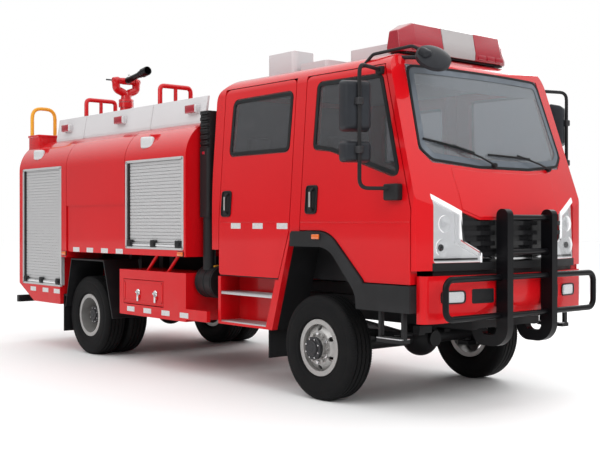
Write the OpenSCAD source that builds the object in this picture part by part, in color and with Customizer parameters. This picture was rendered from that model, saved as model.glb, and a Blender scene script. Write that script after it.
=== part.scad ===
// Crew-cab water tanker fire engine, four-wheel drive, standing on its wheels.
// X runs forward, Y to the left and Z up from the ground. Pieces are drawn with the front
// axle at X = 0, then moved so that the origin lies under the middle of the whole vehicle.

/* [Wheels] */
// Distance between the two axles
wheelbase = 3800; // [3700:10:4000]
// Radius of a tyre
tyre_r = 430; // [400:5:450]
// Width of a tyre
tyre_w = 240; // [200:5:255]
// Radius of a rim's flange
rim_r = 236; // [215:1:260]
// Distance between the middles of the front tyres
front_track = 1850; // [1800:10:1900]
// Distance between the middles of the outer rear tyres
rear_track = 1910; // [1860:10:1940]
// Distance between the middles of two twin tyres
twin_pitch = 275; // [270:1:290]
// Distance of the king pin inside the middle of the front tyre
pin_inset = 125; // [110:1:150]
// Radius of the wheel studs' circle
stud_circle_r = 102; // [95:1:110]

/* [Frame] */
// Height of the top of the frame rails
frame_top = 820; // [800:5:850]
// Depth of a frame rail
rail_h = 200; // [160:5:220]
// Width of a frame rail
rail_w = 70; // [55:1:80]
// Width over the two frame rails
frame_w = 850; // [800:5:880]
// Thickness of a rail's web and flanges
rail_t = 8; // [6:1:12]
// Distance from the front axle to the front of the frame
frame_front = 1100; // [1080:5:1110]
// Bore of the tow eye at the rear
tow_bore_r = 25; // [15:1:30]

/* [Cab] */
// Width of the cab
cab_w = 2090; // [2060:5:2120]
// Distance from the front axle to the nose of the cab
cab_front = 1225; // [1215:1:1235]
// Distance from the front axle to the back of the cab
cab_back = 1506; // [1480:2:1530]
// Height of the crown of the roof
cab_top = 2800; // [2780:5:2850]
// Thickness of the cab's walls and doors
cab_wall = 60; // [45:1:70]
// Height of the underside of the cab's floor
floor_low = 960; // [940:2:980]
// Thickness of the cab's floor
floor_t = 40; // [25:1:60]
// Height of the seam between the cab's sides and its roof
roof_seam = 2672; // [2665:1:2685]
// Height where the sides start to lean inwards
belt_z = 1450; // [1430:5:1500]
// Gap round a door
door_gap = 8; // [7:0.5:10]
// Radius of the rolled hem at a door's front edge
hem_r = 8; // [7:0.5:10]
// Height of the top of the front wheel arch
arch_top = 1252; // [1230:2:1270]
// Width of the black trim round the front wheel arch
arch_trim = 127; // [100:1:140]
// Thickness of the glass
glass_t = 8; // [5:0.5:10]
// Distance of the glass behind the outer skin
glass_in = 6; // [4:0.5:10]
// Lap of the glass on its ledge
glass_lap = 18; // [12:1:22]
// Thickness of the treads and of the arch linings
plate_t = 15; // [10:1:20]

/* [Tank body] */
// Width of the body
body_w = 2316; // [2280:4:2340]
// Gap between the cab and the body
body_gap = 244; // [230:2:280]
// Length of the front locker
locker_l = 1120; // [1080:10:1160]
// Length of the tank
tank_l = 1280; // [1240:10:1320]
// Length of the pump room at the rear
pump_l = 1220; // [1180:10:1260]
// Height of the underside of the front locker and the tank
body_low = 1125; // [1110:5:1150]
// Height of the underside of the pump room's skirts
skirt_low = 524; // [500:4:560]
// Height of the deck
deck_z = 2435; // [2400:5:2460]
// Radius of the shoulder between side and deck
shoulder_r = 370; // [330:5:400]
// Gap between two sections of the body
seam = 8; // [6:1:12]
// Depth of the tank's lower panel behind the shoulder cover
panel_in = 14; // [8:1:20]
// Height of the lower lip of the shoulder cover
lip_z = 1635; // [1600:5:1670]
// Depth of a shutter's recess
shutter_in = 45; // [30:1:60]
// Pitch of a shutter's slats
slat_pitch = 33; // [28:1:40]

/* [Deck] */
// Height of the fence
fence_h = 232; // [200:4:260]
// Distance from the middle to the foot of the fence
fence_y = 928; // [900:2:940]
// Inward lean of the fence over its height
fence_lean = 40; // [20:2:60]
// Thickness of the fence
fence_t = 20; // [12:1:30]
// Height of the swivel of the water cannon
swivel_z = 2944; // [2920:2:2970]
// Height of the trunnion of the water cannon
trunnion_z = 3210; // [3190:2:3230]
// Length of the water cannon's barrel ahead of its trunnion
barrel_l = 520; // [450:5:600]

/* [Front] */
// Distance from the front axle to the front of the guard bar
front_reach = 1360; // [1350:1:1380]
// Depth of a guard upright
guard_d = 108; // [90:1:110]
// Width of a guard upright
guard_w = 70; // [50:1:80]
// Distance between the middles of the guard uprights
guard_pitch = 560; // [500:5:620]
// Radius of the guard's side tubes
guard_tube_r = 24; // [18:1:28]
// Height of the bumper's lower edge
bumper_low = 700; // [690:2:720]
// Height of the bumper's upper edge
bumper_top = 1053; // [1040:1:1058]
// Width of the bumper
bumper_w = 1970; // [1940:5:2000]

/* [Step boxes] */
// Distance from the middle to a step box's outer face
box_y = 1120; // [1100:2:1140]
// Depth of a step box
box_d = 430; // [400:5:450]
// Length of a step box
box_l = 1235; // [1180:5:1260]
// Thickness of a step box's walls and flap
box_t = 20; // [14:1:25]
// Gap round a step box's flap
flap_gap = 6; // [5:0.5:8]
// Radius of a flap's hinge tube
flap_pin_r = 9; // [7:0.5:10]

/* [Hidden] */
$fn = 48;

red = "#c8141c";
black = "#1a1a1c";
steel = "#a8a8aa";
white = "#e8e8e8";
clear = "#9fb4bd";

// Places along the vehicle, from the front axle
body_front = -cab_back - body_gap;
tank_front = body_front - locker_l;
pump_front = tank_front - tank_l;
body_rear = pump_front - pump_l;
rear_bar = [body_rear - 90, body_rear - 10];
front_axle_x = (front_reach - rear_bar[0]) / 2 - front_reach;

// Rounded outlines: a list of [x, y, radius] that runs anticlockwise
function unit(v) = v / norm(v);
function xy(p) = [p[0], p[1]];
function before(p, i) = xy(p[(i + len(p) - 1) % len(p)]);
function after(p, i) = xy(p[(i + 1) % len(p)]);
function corner(p, i) = let (b = xy(p[i]), u = unit(before(p, i) - b), w = unit(after(p, i) - b),
    half = acos(u * w) / 2, t = p[i][2] / tan(half))
    [b + t * u, b + t * w, b + unit(u + w) * p[i][2] / sin(half)];
function left_of(v) = [-v[1], v[0]];
// The same outline with every side moved inwards by g
function inset(p, g) = [for (i = [0 : len(p) - 1]) let (b = xy(p[i]),
    n = left_of(unit(b - before(p, i))), m = left_of(unit(after(p, i) - b)),
    q = b + g * (n + m) / (1 + n * m), r = p[i][2]) [q[0], q[1], r > max(g, 0) ? r - g : 0]];

// The arcs are drawn a trace larger, so that they cross the sides and don't only touch them
arc_grow = 0.03;
module rounded(p) {
    polygon([for (i = [0 : len(p) - 1]) let (k = corner(p, i))
        each (p[i][2] > 0 ? [k[0], k[1]] : [xy(p[i])])]);
    for (i = [0 : len(p) - 1]) if (p[i][2] > 0) let (k = corner(p, i), b = xy(p[i])) intersection() {
        translate(k[2]) circle(r = p[i][2] + arc_grow, $fn = 180);
        polygon([k[0], b, k[1], (k[0] + k[1] - b)]);
    }
}
function plate(x, z, r = 0) = [[x[0], z[0], r], [x[1], z[0], r], [x[1], z[1], r], [x[0], z[1], r]];

// Extrusions of an outline along one axis, and blocks by their ranges
module along_x(x) translate([x[0], 0, 0]) rotate([90, 0, 90]) linear_extrude(x[1] - x[0]) children();
module along_y(y) translate([0, y[1], 0]) rotate([90, 0, 0]) linear_extrude(y[1] - y[0]) children();
module along_z(z) translate([0, 0, z[0]]) linear_extrude(z[1] - z[0]) children();
module span(x, y, z) translate([x[0], y[0], z[0]]) cube([x[1] - x[0], y[1] - y[0], z[1] - z[0]]);
module both_sides() {
    children();
    mirror([0, 1, 0]) children();
}
module disc_y(y, r, at = [0, 0]) translate([at[0], y[1], at[1]]) rotate([90, 0, 0])
    cylinder(h = y[1] - y[0], r = r);
module rod(p, q, r) {
    d = q - p;
    translate(p) rotate([0, acos(d[2] / norm(d)), atan2(d[1], d[0])]) cylinder(h = norm(d), r = r);
}
// A quarter bend of tube in a plane across the vehicle
module elbow(middle, turn, bend, r) translate(middle) rotate([90, 0, 90]) rotate([0, 0, turn])
    rotate_extrude(angle = 90) translate([bend, 0]) circle(r = r);

// Frame and running gear
rail_y = [frame_w / 2 - rail_w, frame_w / 2];
rail_z = [frame_top - rail_h, frame_top];
frame_rear = body_rear + 40;
cross_x = [-1260, -1700, -2500, -3300, -4300];
cross_low = frame_top - 80;
spring_y = [frame_w / 2 + 15, frame_w / 2 + 85];
spring_l = 1200;
axle_r = 62;
bowl_r = 165;
front_bowl_y = 180;
rear_x = -wheelbase;
rear_inner_y = rear_track / 2 - twin_pitch;

module frame() color(black) {
    both_sides() difference() {
        span([frame_rear, frame_front], rail_y, rail_z);
        span([frame_rear - 1, frame_front + 1], [rail_y[0] - 1, rail_y[1] - rail_t],
            [rail_z[0] + rail_t, rail_z[1] - rail_t]);
    }
    for (x = [frame_front - 80, frame_rear]) span([x, x + 80], [rail_t - rail_y[1], rail_y[1] - rail_t],
        [rail_z[0] + rail_t, rail_z[1] - rail_t]);
    for (x = cross_x) span([x, x + 80], [rail_t - rail_y[1], rail_y[1] - rail_t],
        [cross_low, rail_z[1] - rail_t]);
    // Rear bar on its two hangers, with a tow jaw in the middle
    both_sides() span([rear_bar[0] + 20, frame_rear + 80], rail_y, [480, rail_z[0] + rail_t]);
    span([rear_bar[0], rear_bar[1] - 20], [-1150, 1150], [485, 565]);
    difference() {
        span([body_rear - 70, frame_rear + 1], [-60, 60], [rail_z[0] + 40, rail_z[0] + 120]);
        span([body_rear - 71, body_rear - 5], [-70, 70], [rail_z[0] + 65, rail_z[0] + 95]);
        translate([body_rear - 40, 0, rail_z[0]]) cylinder(h = 200, r = tow_bore_r);
    }
    // Spring hangers under the rails
    for (x = [0, rear_x]) both_sides() for (s = [-1, 1])
        span([x + s * spring_l / 2 - 35, x + s * spring_l / 2 + 35], [rail_y[0] + 10, spring_y[1]],
            [rail_z[0] - 60, rail_z[0]]);
}

// Leaf packs: a long arched leaf with shorter ones below it, clamped on the axle
leaf_t = 14;
leaf_count = 4;
hanger_low = rail_z[0] - 60;
seat_z = tyre_r + axle_r;
module leaf(half, low, rise) polygon([[-half, low + rise], [0, low], [half, low + rise],
    [half, low + rise + leaf_t], [0, low + leaf_t], [-half, low + rise + leaf_t]]);
module leaf_springs() color(black) for (x = [0, rear_x]) both_sides() {
    long = spring_l / 2 + 30;
    top_low = seat_z + (leaf_count - 1) * leaf_t;
    rise = hanger_low - top_low - leaf_t;
    for (k = [0 : leaf_count - 1]) let (half = long * (1 - 0.22 * k))
        along_y(spring_y) translate([x, 0]) leaf(half, top_low - k * leaf_t, rise * half / long);
}

// One axle tube with its differential bowl
module axle(x, half, bowl_y) translate([x, 0, tyre_r]) {
    disc_y([-half, half], axle_r);
    translate([0, bowl_y, 0]) sphere(r = bowl_r);
    translate([0, bowl_y, 0]) rotate([0, 90, 0]) cylinder(h = 2 * bowl_r + 40, r = 70, center = true);
    both_sides() span([-55, 55], [spring_y[0], spring_y[1]], [0, axle_r]);
}
king_y = front_track / 2 - pin_inset;
king_r = 20;
fork_half = 95;
module front_axle() color(black) difference() {
    union() {
        axle(0, king_y + 10, front_bowl_y);
        both_sides() translate([0, king_y, tyre_r]) cylinder(h = 2 * 70, r = 42, center = true);
    }
    both_sides() translate([0, king_y, tyre_r]) cylinder(h = 300, r = king_r + 0.5, center = true);
}
module rear_axle() color(black) {
    axle(rear_x, axle_end, 0);
}

module powertrain() color("#4a4c4e") {
    span([-520, 560], [-250, 250], [640, 1140]);
    span([-1150, -519], [-170, 170], [600, 900]);
    span([-1500, -1280], [-230, 260], [520, cross_low - 20]);
    along_x([-1281, -1149]) translate([0, 660]) circle(r = 50);
    rod([-1495, 0, 630], [rear_x + bowl_r + 25, 0, tyre_r], 45);
    rod([-1285, front_bowl_y, 565], [-bowl_r - 30, front_bowl_y, tyre_r], 36);
    // Mounts on the rails
    both_sides() for (x = [-1420, 200]) span([x, x + 70], [160, rail_y[1] - rail_t], [650, 710]);
}
tank_y = box_y - box_d - 12;
module fuel_tank() color("#3a3c3e") {
    along_x([-2650, -2150]) rounded(plate([tank_y - 215, tank_y], [560, 800], 30));
    for (x = [-2600, -2240]) span([x, x + 40], [frame_w / 2, tank_y - 214], [640, 760]);
}

// Air cleaner on the right, with its tall intake behind the cab
snorkel_x = [body_front + 20, -cab_back - 70];
module air_intake() color(black) {
    translate([-1640, -890, 890]) rotate([0, 90, 0]) cylinder(h = 260, r = 150, center = true);
    along_z([1000, 1501]) translate([(snorkel_x[0] + snorkel_x[1]) / 2, -950]) circle(r = 60);
    difference() {
        along_z([1500, 2500]) rounded(plate(snorkel_x, [-1020, -890], 30));
        for (k = [0 : 5]) span([snorkel_x[0] - 1, snorkel_x[1] + 1], [-1030, -1000],
            [2160 + 56 * k, 2190 + 56 * k]);
    }
    span([body_front, snorkel_x[0] + 1], [-980, -930], [1600, 1660]);
    span([-1700, -1600], [-830, -frame_w / 2], [760, 800]);
}

// Bearers that carry the body on the frame
module subframe() color(black) {
    both_sides() span([body_rear + 150, body_front - 40], rail_y, [frame_top, frame_top + 110]);
    for (x = [body_front - 140, tank_front + 60, tank_front - 140, -3450, pump_front + 60])
        span([x, x + 80], [-655, 655], [frame_top + 110, body_low]);
}

// Cab: one hollow form from its side, front and plan outlines, split where the panels meet
cab_low = 300;
bow_r = 3600;
screen_bow_r = 6000;
screen_foot = 1454;
screen_rake = 18;
// Each outline stands a little outside the one it meets, so that no two faces coincide
proud = 5;
screen_top = cab_top - 100;
cab_side = [[-cab_back, cab_low, 0], [cab_front + 60, cab_low, 0], [cab_front + 60, screen_foot - 190, 0],
    [cab_front + proud, screen_foot, 0],
    [cab_front + proud - tan(screen_rake) * (screen_top - screen_foot), screen_top, 170],
        [600, cab_top, 600],
    [256 - cab_back, cab_top - 10, 300], [-cab_back, cab_top - 160, 140]];
cab_face = [[-cab_w / 2, cab_low - 50, 0], [cab_w / 2, cab_low - 50, 0], [cab_w / 2, belt_z, 1200],
    [cab_w / 2 - 90, cab_top - 65, 150], [600, cab_top + proud, 600], [-600, cab_top + proud, 600],
    [90 - cab_w / 2, cab_top - 65, 150], [-cab_w / 2, belt_z, 1200]];
plan_x = [-cab_back - proud, cab_front - 143];
plan_y = cab_w / 2 + proud;
cab_plan = [[plan_x[0], -plan_y, 60], [plan_x[1], -plan_y, 90], [plan_x[1] + 180, 790 - plan_y, 0],
    [plan_x[1] + 180, plan_y - 790, 0], [plan_x[1], plan_y, 90], [plan_x[0], plan_y, 60]];
module bow(r, g) along_z([-3000, 3000]) intersection() {
    translate([-r, 0]) rotate(180) circle(r = r - g, $fn = 360);
    translate([-3200, -1350]) square([3300, 2700]);
}
module nose(g) translate([cab_front, 0, 0]) bow(bow_r, g);
module screen_face(g) translate([cab_front, 0, screen_foot]) rotate([0, -screen_rake, 0])
    bow(screen_bow_r, g);
module sides_face(g) along_x([-1700, 1400]) rounded(inset(cab_face, g));
module cab_form(g) intersection() {
    along_y([-1400, 1400]) rounded(inset(cab_side, g));
    sides_face(g);
    along_z([cab_low - 100, 3000]) rounded(inset(cab_plan, g));
    nose(g);
    screen_face(g);
}
module nose_skin(outer, inner) difference() {
    nose(outer);
    nose(inner);
}
module cab_shell(outer = 0, inner = cab_wall) difference() {
    cab_form(outer);
    cab_form(inner);
}
side_y = [700, cab_w / 2 + 60];

// Wheel arch, doors and windows in side view
arch_lean = 0.304;
arch_foot = 525;
arch_back = -328;
function arch_edge(z) = arch_back - arch_lean * (arch_top + arch_trim - z);
module arch(g, back = 0) rounded([[arch_edge(arch_foot - 200) - back, arch_foot - 200, 0],
    [510 + g * 0.8, arch_foot - 200, 0], [470 + g, 900 + g * 0.4, 200 + g * 0.5],
    [150, arch_top + g, 260 + g * 0.5], [arch_edge(arch_top + g) - back, arch_top + g, 60]]);
pillar_w = 45;
door_top = roof_seam - door_gap;
door_front_x = 1040;
front_door_x = [-213, door_front_x];
rear_door_x = [-1366, -356];
door_low = 990;
door_kink_z = 1540;
door_lean_x = 690;
front_door = [[front_door_x[0], door_low, 0], [front_door_x[1], door_low, 10],
    [front_door_x[1], door_kink_z, 200],
    [door_lean_x, door_top, 0], [front_door_x[0], door_top, 50]];
rear_door_low = floor_low + 15;
hem_low = belt_z - 50;
rear_door = [[rear_door_x[0], rear_door_low, 30],
    [arch_edge(rear_door_low) - pillar_w - door_gap, rear_door_low, 20],
    [rear_door_x[1] - 14, hem_low - 40, 0], [rear_door_x[1], hem_low, 0], [rear_door_x[1], door_top, 50],
    [rear_door_x[0], door_top, 70]];
front_window = [[-84, 2064, 40], [130, 2038, 0], [908, 1790, 45], [664, 2584, 60], [-68, 2592, 50]];
rear_window = [[-1250, 2062, 45], [-418, 2064, 45], [-400, 2556, 50], [-1225, 2550, 60]];
screen = [[-780, 1920, 0], [-300, 1885, 0], [300, 1885, 0], [780, 1920, 0], [868, 2010, 0],
    [800, roof_seam + 60, 0], [-800, roof_seam + 60, 0], [-868, 2010, 0]];

// Hinge axes of the doors stand in the rolled hems at their front edges
hinge_y = cab_w / 2 - hem_r + 1;
front_hinge_x = front_door_x[1] - hem_r;
rear_hinge_x = rear_door_x[1] - hem_r;

module door_outline(front, g) {
    if (front) difference() {
        rounded(inset(front_door, g));
        arch(arch_trim + door_gap + g);
    }
    else rounded(inset(rear_door, g));
}
// The opening left for a door is its outline with the gap all round
module door_right(front) color(red) {
    window = front ? front_window : rear_window;
    hinge_x = front ? front_hinge_x : rear_hinge_x;
    hem_z = front ? [door_low, belt_z] : [hem_low, belt_z];
    difference() {
        intersection() {
            cab_shell();
            along_y(-[side_y[1], cab_w / 2 - 200]) door_outline(front, 0);
        }
        along_y(-[side_y[1], side_y[0]]) rounded(window);
        difference() {
            along_y(-[side_y[1], side_y[0]]) rounded(inset(window, -glass_lap));
            sides_face(glass_in + glass_t);
        }
        // Relief behind the hem, so that the edge turns clear of the pillar
        span([hinge_x, hinge_x + 2 * hem_r], [-cab_w / 2 - 1, -cab_w / 2 + 200],
            [hem_z[0] - (front ? 1 : 0), hem_z[1]]);
    }
    translate([hinge_x, -hinge_y, 0]) along_z(hem_z) circle(r = hem_r);
}
module door_glass_right(front) color(clear) {
    window = front ? front_window : rear_window;
    intersection() {
        difference() {
            sides_face(glass_in);
            sides_face(glass_in + glass_t);
        }
        along_y(-[side_y[1], side_y[0]]) rounded(inset(window, -glass_lap));
    }
}
module door_front_right() door_right(true);
module door_front_left() mirror([0, 1, 0]) door_right(true);
module door_rear_right() door_right(false);
module door_rear_left() mirror([0, 1, 0]) door_right(false);
module glass_front_right() door_glass_right(true);
module glass_front_left() mirror([0, 1, 0]) door_glass_right(true);
module glass_rear_right() door_glass_right(false);
module glass_rear_left() mirror([0, 1, 0]) door_glass_right(false);

// Floor with the wheel houses and the engine hump; cab mounts stand on the rails
house_y = [690, cab_w / 2 - cab_wall];
floor_y = house_y[1] - door_gap;
hump = [-700, 600];
hump_w = 640;
hump_top = 1230;
module cab_floor() color("#5a1214") {
    difference() {
        union() {
            intersection() {
                nose(cab_wall + door_gap);
                span([cab_wall + door_gap - cab_back, frame_front - 10], [-floor_y, floor_y],
                    [floor_low, floor_low + floor_t]);
            }
            span([cab_wall - cab_back, -900], [-880, 880], [floor_low, floor_low + floor_t]);
            intersection() {
                nose(cab_wall);
                union() {
                    span([door_front_x + 20, frame_front - 10], [-850, 850], [floor_low, 1240]);
                    span([door_front_x + 20, cab_front], [-850, 850], [bumper_top + 10, 1240]);
                }
            }
            span(hump, [-hump_w / 2, hump_w / 2], [floor_low, hump_top]);
            // Tabs out to the middle pillars
            both_sides() span([arch_edge(floor_low) - 40, arch_edge(floor_low) - 5],
                [house_y[1] - 40, house_y[1]], [floor_low, floor_low + floor_t]);
            // Wheel house linings
            both_sides() along_y([house_y[0] - plate_t, house_y[1]]) intersection() {
                arch(plate_t, plate_t);
                translate([-1000, arch_foot]) square([2000, 1000]);
            }
            both_sides() for (x = [-1250, -100, 900])
                span([x, x + 90], rail_y, [frame_top, floor_low + 1]);
        }
        span([hump[0] + plate_t, hump[1] - plate_t], [plate_t - hump_w / 2, hump_w / 2 - plate_t],
            [0, hump_top - plate_t]);
        both_sides() along_y([house_y[0], house_y[1] + 10]) arch(0);
        // Corners clear of the front doors as they turn
        both_sides() span([door_front_x - 90, cab_front], [floor_y - 35, cab_w / 2],
            [floor_low - 1, floor_low + floor_t + 1]);
        // Open below the floor's level inside the arch
        both_sides() span([-900, 900], [house_y[0] - plate_t - 1, house_y[0]], [0, floor_low]);
        both_sides() span([0, 900], [house_y[0] - 1, house_y[1] + 10], [0, 800]);
    }
}
module cab_back_wall() color(red) intersection() {
    cab_shell();
    span([-cab_back - 10, rear_door_x[0] - door_gap], [-cab_w, cab_w], [1200, roof_seam]);
}
// Windscreen frame, front panel and corners
front_panel_low = 1092;
module front_outline() polygon([[door_front_x + door_gap, front_panel_low], [1400, front_panel_low],
    [1400, roof_seam],
    [door_lean_x + door_gap, roof_seam], [door_front_x + door_gap, door_kink_z + 5]]);
lamp = [[430, 1150, 0], [875, 1150, 20], [875, 1658, 0], [622, 1535, 0], [622, 1310, 0], [430, 1215, 0]];
grille_edge = [[1100, 400], [1150, 426], [1217, 426], [1312, 618], [1532, 618]];
grille_top = [450, 1471];
grille_shape = concat([for (e = grille_edge) [e[1], e[0], 0]],
    [[grille_top[0], grille_top[1], 0], [-grille_top[0], grille_top[1], 0]],
    [for (k = [len(grille_edge) - 1 : -1 : 0]) [-grille_edge[k][1], grille_edge[k][0], 0]]);
lamp_x = [700, 1400];
module cab_front_panel() color(red) difference() {
    intersection() {
        cab_shell();
        along_y([-1200, 1200]) front_outline();
    }
    along_x(lamp_x) rounded(screen);
    difference() {
        along_x(lamp_x) rounded(inset(screen, -glass_lap));
        screen_face(glass_in + glass_t);
    }
    both_sides() along_x(lamp_x) rounded(lamp);
    along_x(lamp_x) rounded(grille_shape);
}
module windscreen() color(clear) intersection() {
    difference() {
        screen_face(glass_in);
        screen_face(glass_in + glass_t);
    }
    along_x([600, 1400]) intersection() {
        rounded(inset(screen, -glass_lap));
        translate([-1200, 0]) square([2400, roof_seam]);
    }
}
pillar_x = [rear_door_x[1] + door_gap, front_door_x[0] - door_gap];
module pillar_outline() difference() {
    polygon([[arch_edge(arch_foot) - pillar_w, arch_foot], [arch_edge(arch_foot), arch_foot],
        [arch_back, arch_top + arch_trim], [pillar_x[1], arch_top + arch_trim], [pillar_x[1], roof_seam],
        [pillar_x[0], roof_seam], [pillar_x[0], hem_low], [pillar_x[0] - 10, hem_low - 40],
        [arch_edge(rear_door_low) - pillar_w, rear_door_low]]);
    arch(arch_trim);
}
module cab_pillars() color(red) both_sides() intersection() {
    cab_shell();
    along_y([side_y[0] + 100, side_y[1]]) pillar_outline();
}
module cab_roof() color(red) intersection() {
    cab_shell();
    span([-2000, 2000], [-1200, 1200], [roof_seam, 3000]);
}
wheel_at = [640, 470, 1790];
wheel_r = 200;
wheel_tilt = 62;
module dashboard() color("#2a2a2c") {
    intersection() {
        cab_form(cab_wall);
        along_y([-860, 860]) rounded([[760, 1400, 30], [1190, 1400, 0], [1190, 1860, 0], [900, 1860, 60],
            [760, 1760, 80]]);
    }
    translate(wheel_at) rotate([0, -wheel_tilt, 0]) {
        rotate_extrude() translate([wheel_r, 0]) circle(r = 16);
        cylinder(h = 24, r = 60, center = true);
        for (a = [90, 210, 330]) rotate([0, 0, a]) translate([0, -17, -7]) cube([wheel_r, 34, 14]);
        translate([0, 0, -250]) cylinder(h = 245, r = 28);
    }
}
// Seats: [x of the cushion's front, height of its underside, half range across]
module seat(x, z, y) {
    span([x - 480, x], y, [z, z + 150]);
    along_y(y) rounded([[x - 560, z + 60, 20], [x - 400, z + 60, 20], [x - 500, z + 720, 50],
        [x - 640, z + 720, 50]]);
    along_y([(y[0] + y[1]) / 2 - 120, (y[0] + y[1]) / 2 + 120])
        rounded([[x - 590, z + 720, 10], [x - 530, z + 720, 10], [x - 540, z + 930, 30],
            [x - 640, z + 930, 30]]);
}
module seats() color("#333336") {
    both_sides() seat(380, arch_top + plate_t, [330, 860]);
    seat(-760, floor_low + floor_t + 330, [-860, 860]);
    span([-1230, -800], [-800, 800], [floor_low + floor_t, floor_low + floor_t + 330]);
}
bar_z = [1130, 1210, 1290, 1370, 1446];
bar_h = 34;
module grille() color(black) {
    intersection() {
        nose_skin(26, cab_wall);
        along_x(lamp_x) rounded(grille_shape);
    }
    for (z = bar_z) let (w = lookup(z - bar_h / 2, grille_edge) - 2) intersection() {
        nose_skin(2, 30);
        span(lamp_x, [-w, w], [z - bar_h / 2, z + bar_h / 2]);
    }
}
fog = plate([622, 820], [848, 936], 30);
bumper_pad = plate([330, 540], [838, 948], 15);
fog_x = [1120, 1400];
module headlamps() color("#d8dde0") {
    both_sides() intersection() {
        nose_skin(2, 50);
        screen_face(2);
        along_x(lamp_x) rounded(lamp);
    }
    both_sides() intersection() {
        bumper_form();
        along_x(fog_x) rounded(fog);
    }
}
bumper_front = front_reach - guard_d - 12;
bumper_back = frame_front;
module bumper_form() intersection() {
    along_z([bumper_low, bumper_top]) rounded([[1050, -bumper_w / 2, 0], [1120, -bumper_w / 2, 60],
        [bumper_front, -330, 700], [bumper_front, 330, 700], [1120, bumper_w / 2, 60],
            [1050, bumper_w / 2, 0]]);
    along_y([-1200, 1200]) rounded([[900, bumper_low, 0], [bumper_front - 60, bumper_low, 60],
        [bumper_front, bumper_low + 140, 300], [bumper_front, bumper_top, 40], [900, bumper_top, 0]]);
}
module bumper() color(red) difference() {
    bumper_form();
    span([1000, bumper_back], [45 - bumper_w / 2, bumper_w / 2 - 45], [0, 2000]);
    both_sides() along_x(fog_x) rounded(fog);
    both_sides() along_x([bumper_front - 60, 1400]) rounded(bumper_pad);
}
guard_top = 1555;
guard_low = 500;
guard_leg = 90;
guard_back = frame_front - guard_leg;
loop_x = front_reach - guard_d + guard_tube_r + 6;
loop_y = 925;
loop_z = [741, 1032];
loop_bend = 70;
module guard_bar() color(black) {
    both_sides() along_y([guard_pitch / 2 - guard_w / 2, guard_pitch / 2 + guard_w / 2]) difference() {
        rounded([[guard_back, guard_low, 120], [front_reach, guard_low, 150], [front_reach, guard_top, 50],
            [front_reach - guard_d, guard_top, 50], [front_reach - guard_d, rail_z[0] + rail_t, 0],
            [guard_back, rail_z[0] + rail_t, 0]]);
        rounded([[guard_back + guard_leg, guard_low + 85, 50], [front_reach - guard_d, guard_low + 85, 50],
            [front_reach - guard_d, 2000, 0], [guard_back + guard_leg, 2000, 0]]);
    }
    for (z = [1490, 1225, 1032, 741]) rod([front_reach - guard_d / 2, 10 - guard_pitch / 2, z],
        [front_reach - guard_d / 2, guard_pitch / 2 - 10, z], 22);
    both_sides() {
        for (z = loop_z) rod([loop_x, guard_pitch / 2 + 10, z],
            [loop_x, loop_y - loop_bend, z], guard_tube_r);
        rod([loop_x, loop_y, loop_z[0] + loop_bend], [loop_x, loop_y, loop_z[1] - loop_bend], guard_tube_r);
        elbow([loop_x, loop_y - loop_bend, loop_z[1] - loop_bend], 0, loop_bend, guard_tube_r);
        elbow([loop_x, loop_y - loop_bend, loop_z[0] + loop_bend], 270, loop_bend, guard_tube_r);
    }
}
// What stands on the roof is cut to its crown
module on_roof() difference() {
    children();
    cab_form(0);
}
lightbar_x = [355, 620];
lightbar_half = 660;
lightbar_z = [cab_top + 65, cab_top + 255];
roof_cut_z = 2740;
module light_bar() color(red) {
    on_roof() both_sides() span([lightbar_x[0] + 50, lightbar_x[1] - 50], [380, 500],
        [roof_cut_z, lightbar_z[0] + 5]);
    along_y([-lightbar_half, lightbar_half]) rounded([[lightbar_x[0], lightbar_z[0], 30],
        [lightbar_x[1], lightbar_z[0], 30], [lightbar_x[1] - 30, lightbar_z[1], 60],
        [lightbar_x[0] + 50, lightbar_z[1], 60]]);
}
module roof_unit() color(white) on_roof() {
    along_z([roof_cut_z, 2950]) rounded(plate([-300, 300], [-420, 420], 60));
    along_z([roof_cut_z, 3015]) rounded(plate([-1270, -870], [-560, -300], 50));
    along_z([roof_cut_z, 2880]) rounded(plate([-800, -420], [-560, -240], 40));
}
look_down_at = [1000, -749, 2695];
look_down_r = 138;
look_down_ball_r = 300;
module look_down_mirror() color(black) {
    translate(look_down_at) rotate([0, 48, -25]) intersection() {
        translate([0, 0, 45 - look_down_ball_r]) sphere(r = look_down_ball_r);
        translate([0, 0, -18]) cylinder(h = 100, r = look_down_r);
    }
    on_roof() rod(look_down_at + [-15, 4, 5], [640, -850, 2735], 16);
}
// Step well under the rear doors
module step_well(inner) {
    m = inner ? 40 : 0;
    polygon([[-1379 + m, arch_foot + (inner ? 22 : 0)],
        [arch_edge(arch_foot) - pillar_w - m, arch_foot + (inner ? 22 : 0)],
        [arch_edge(floor_low) - pillar_w - m, floor_low + (inner ? 1 : 0)],
            [-1379 + m, floor_low + (inner ? 1 : 0)]]);
}
tread_z = [556, 820];
module cab_steps() color(red) both_sides() {
    difference() {
        along_y([800, cab_w / 2]) step_well(false);
        along_y([830, cab_w / 2 + 10]) step_well(true);
    }
    for (z = tread_z) along_y([830, cab_w / 2 - 5]) intersection() {
        step_well(true);
        translate([-2000, z - 20]) square([3000, 20]);
    }
}
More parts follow.
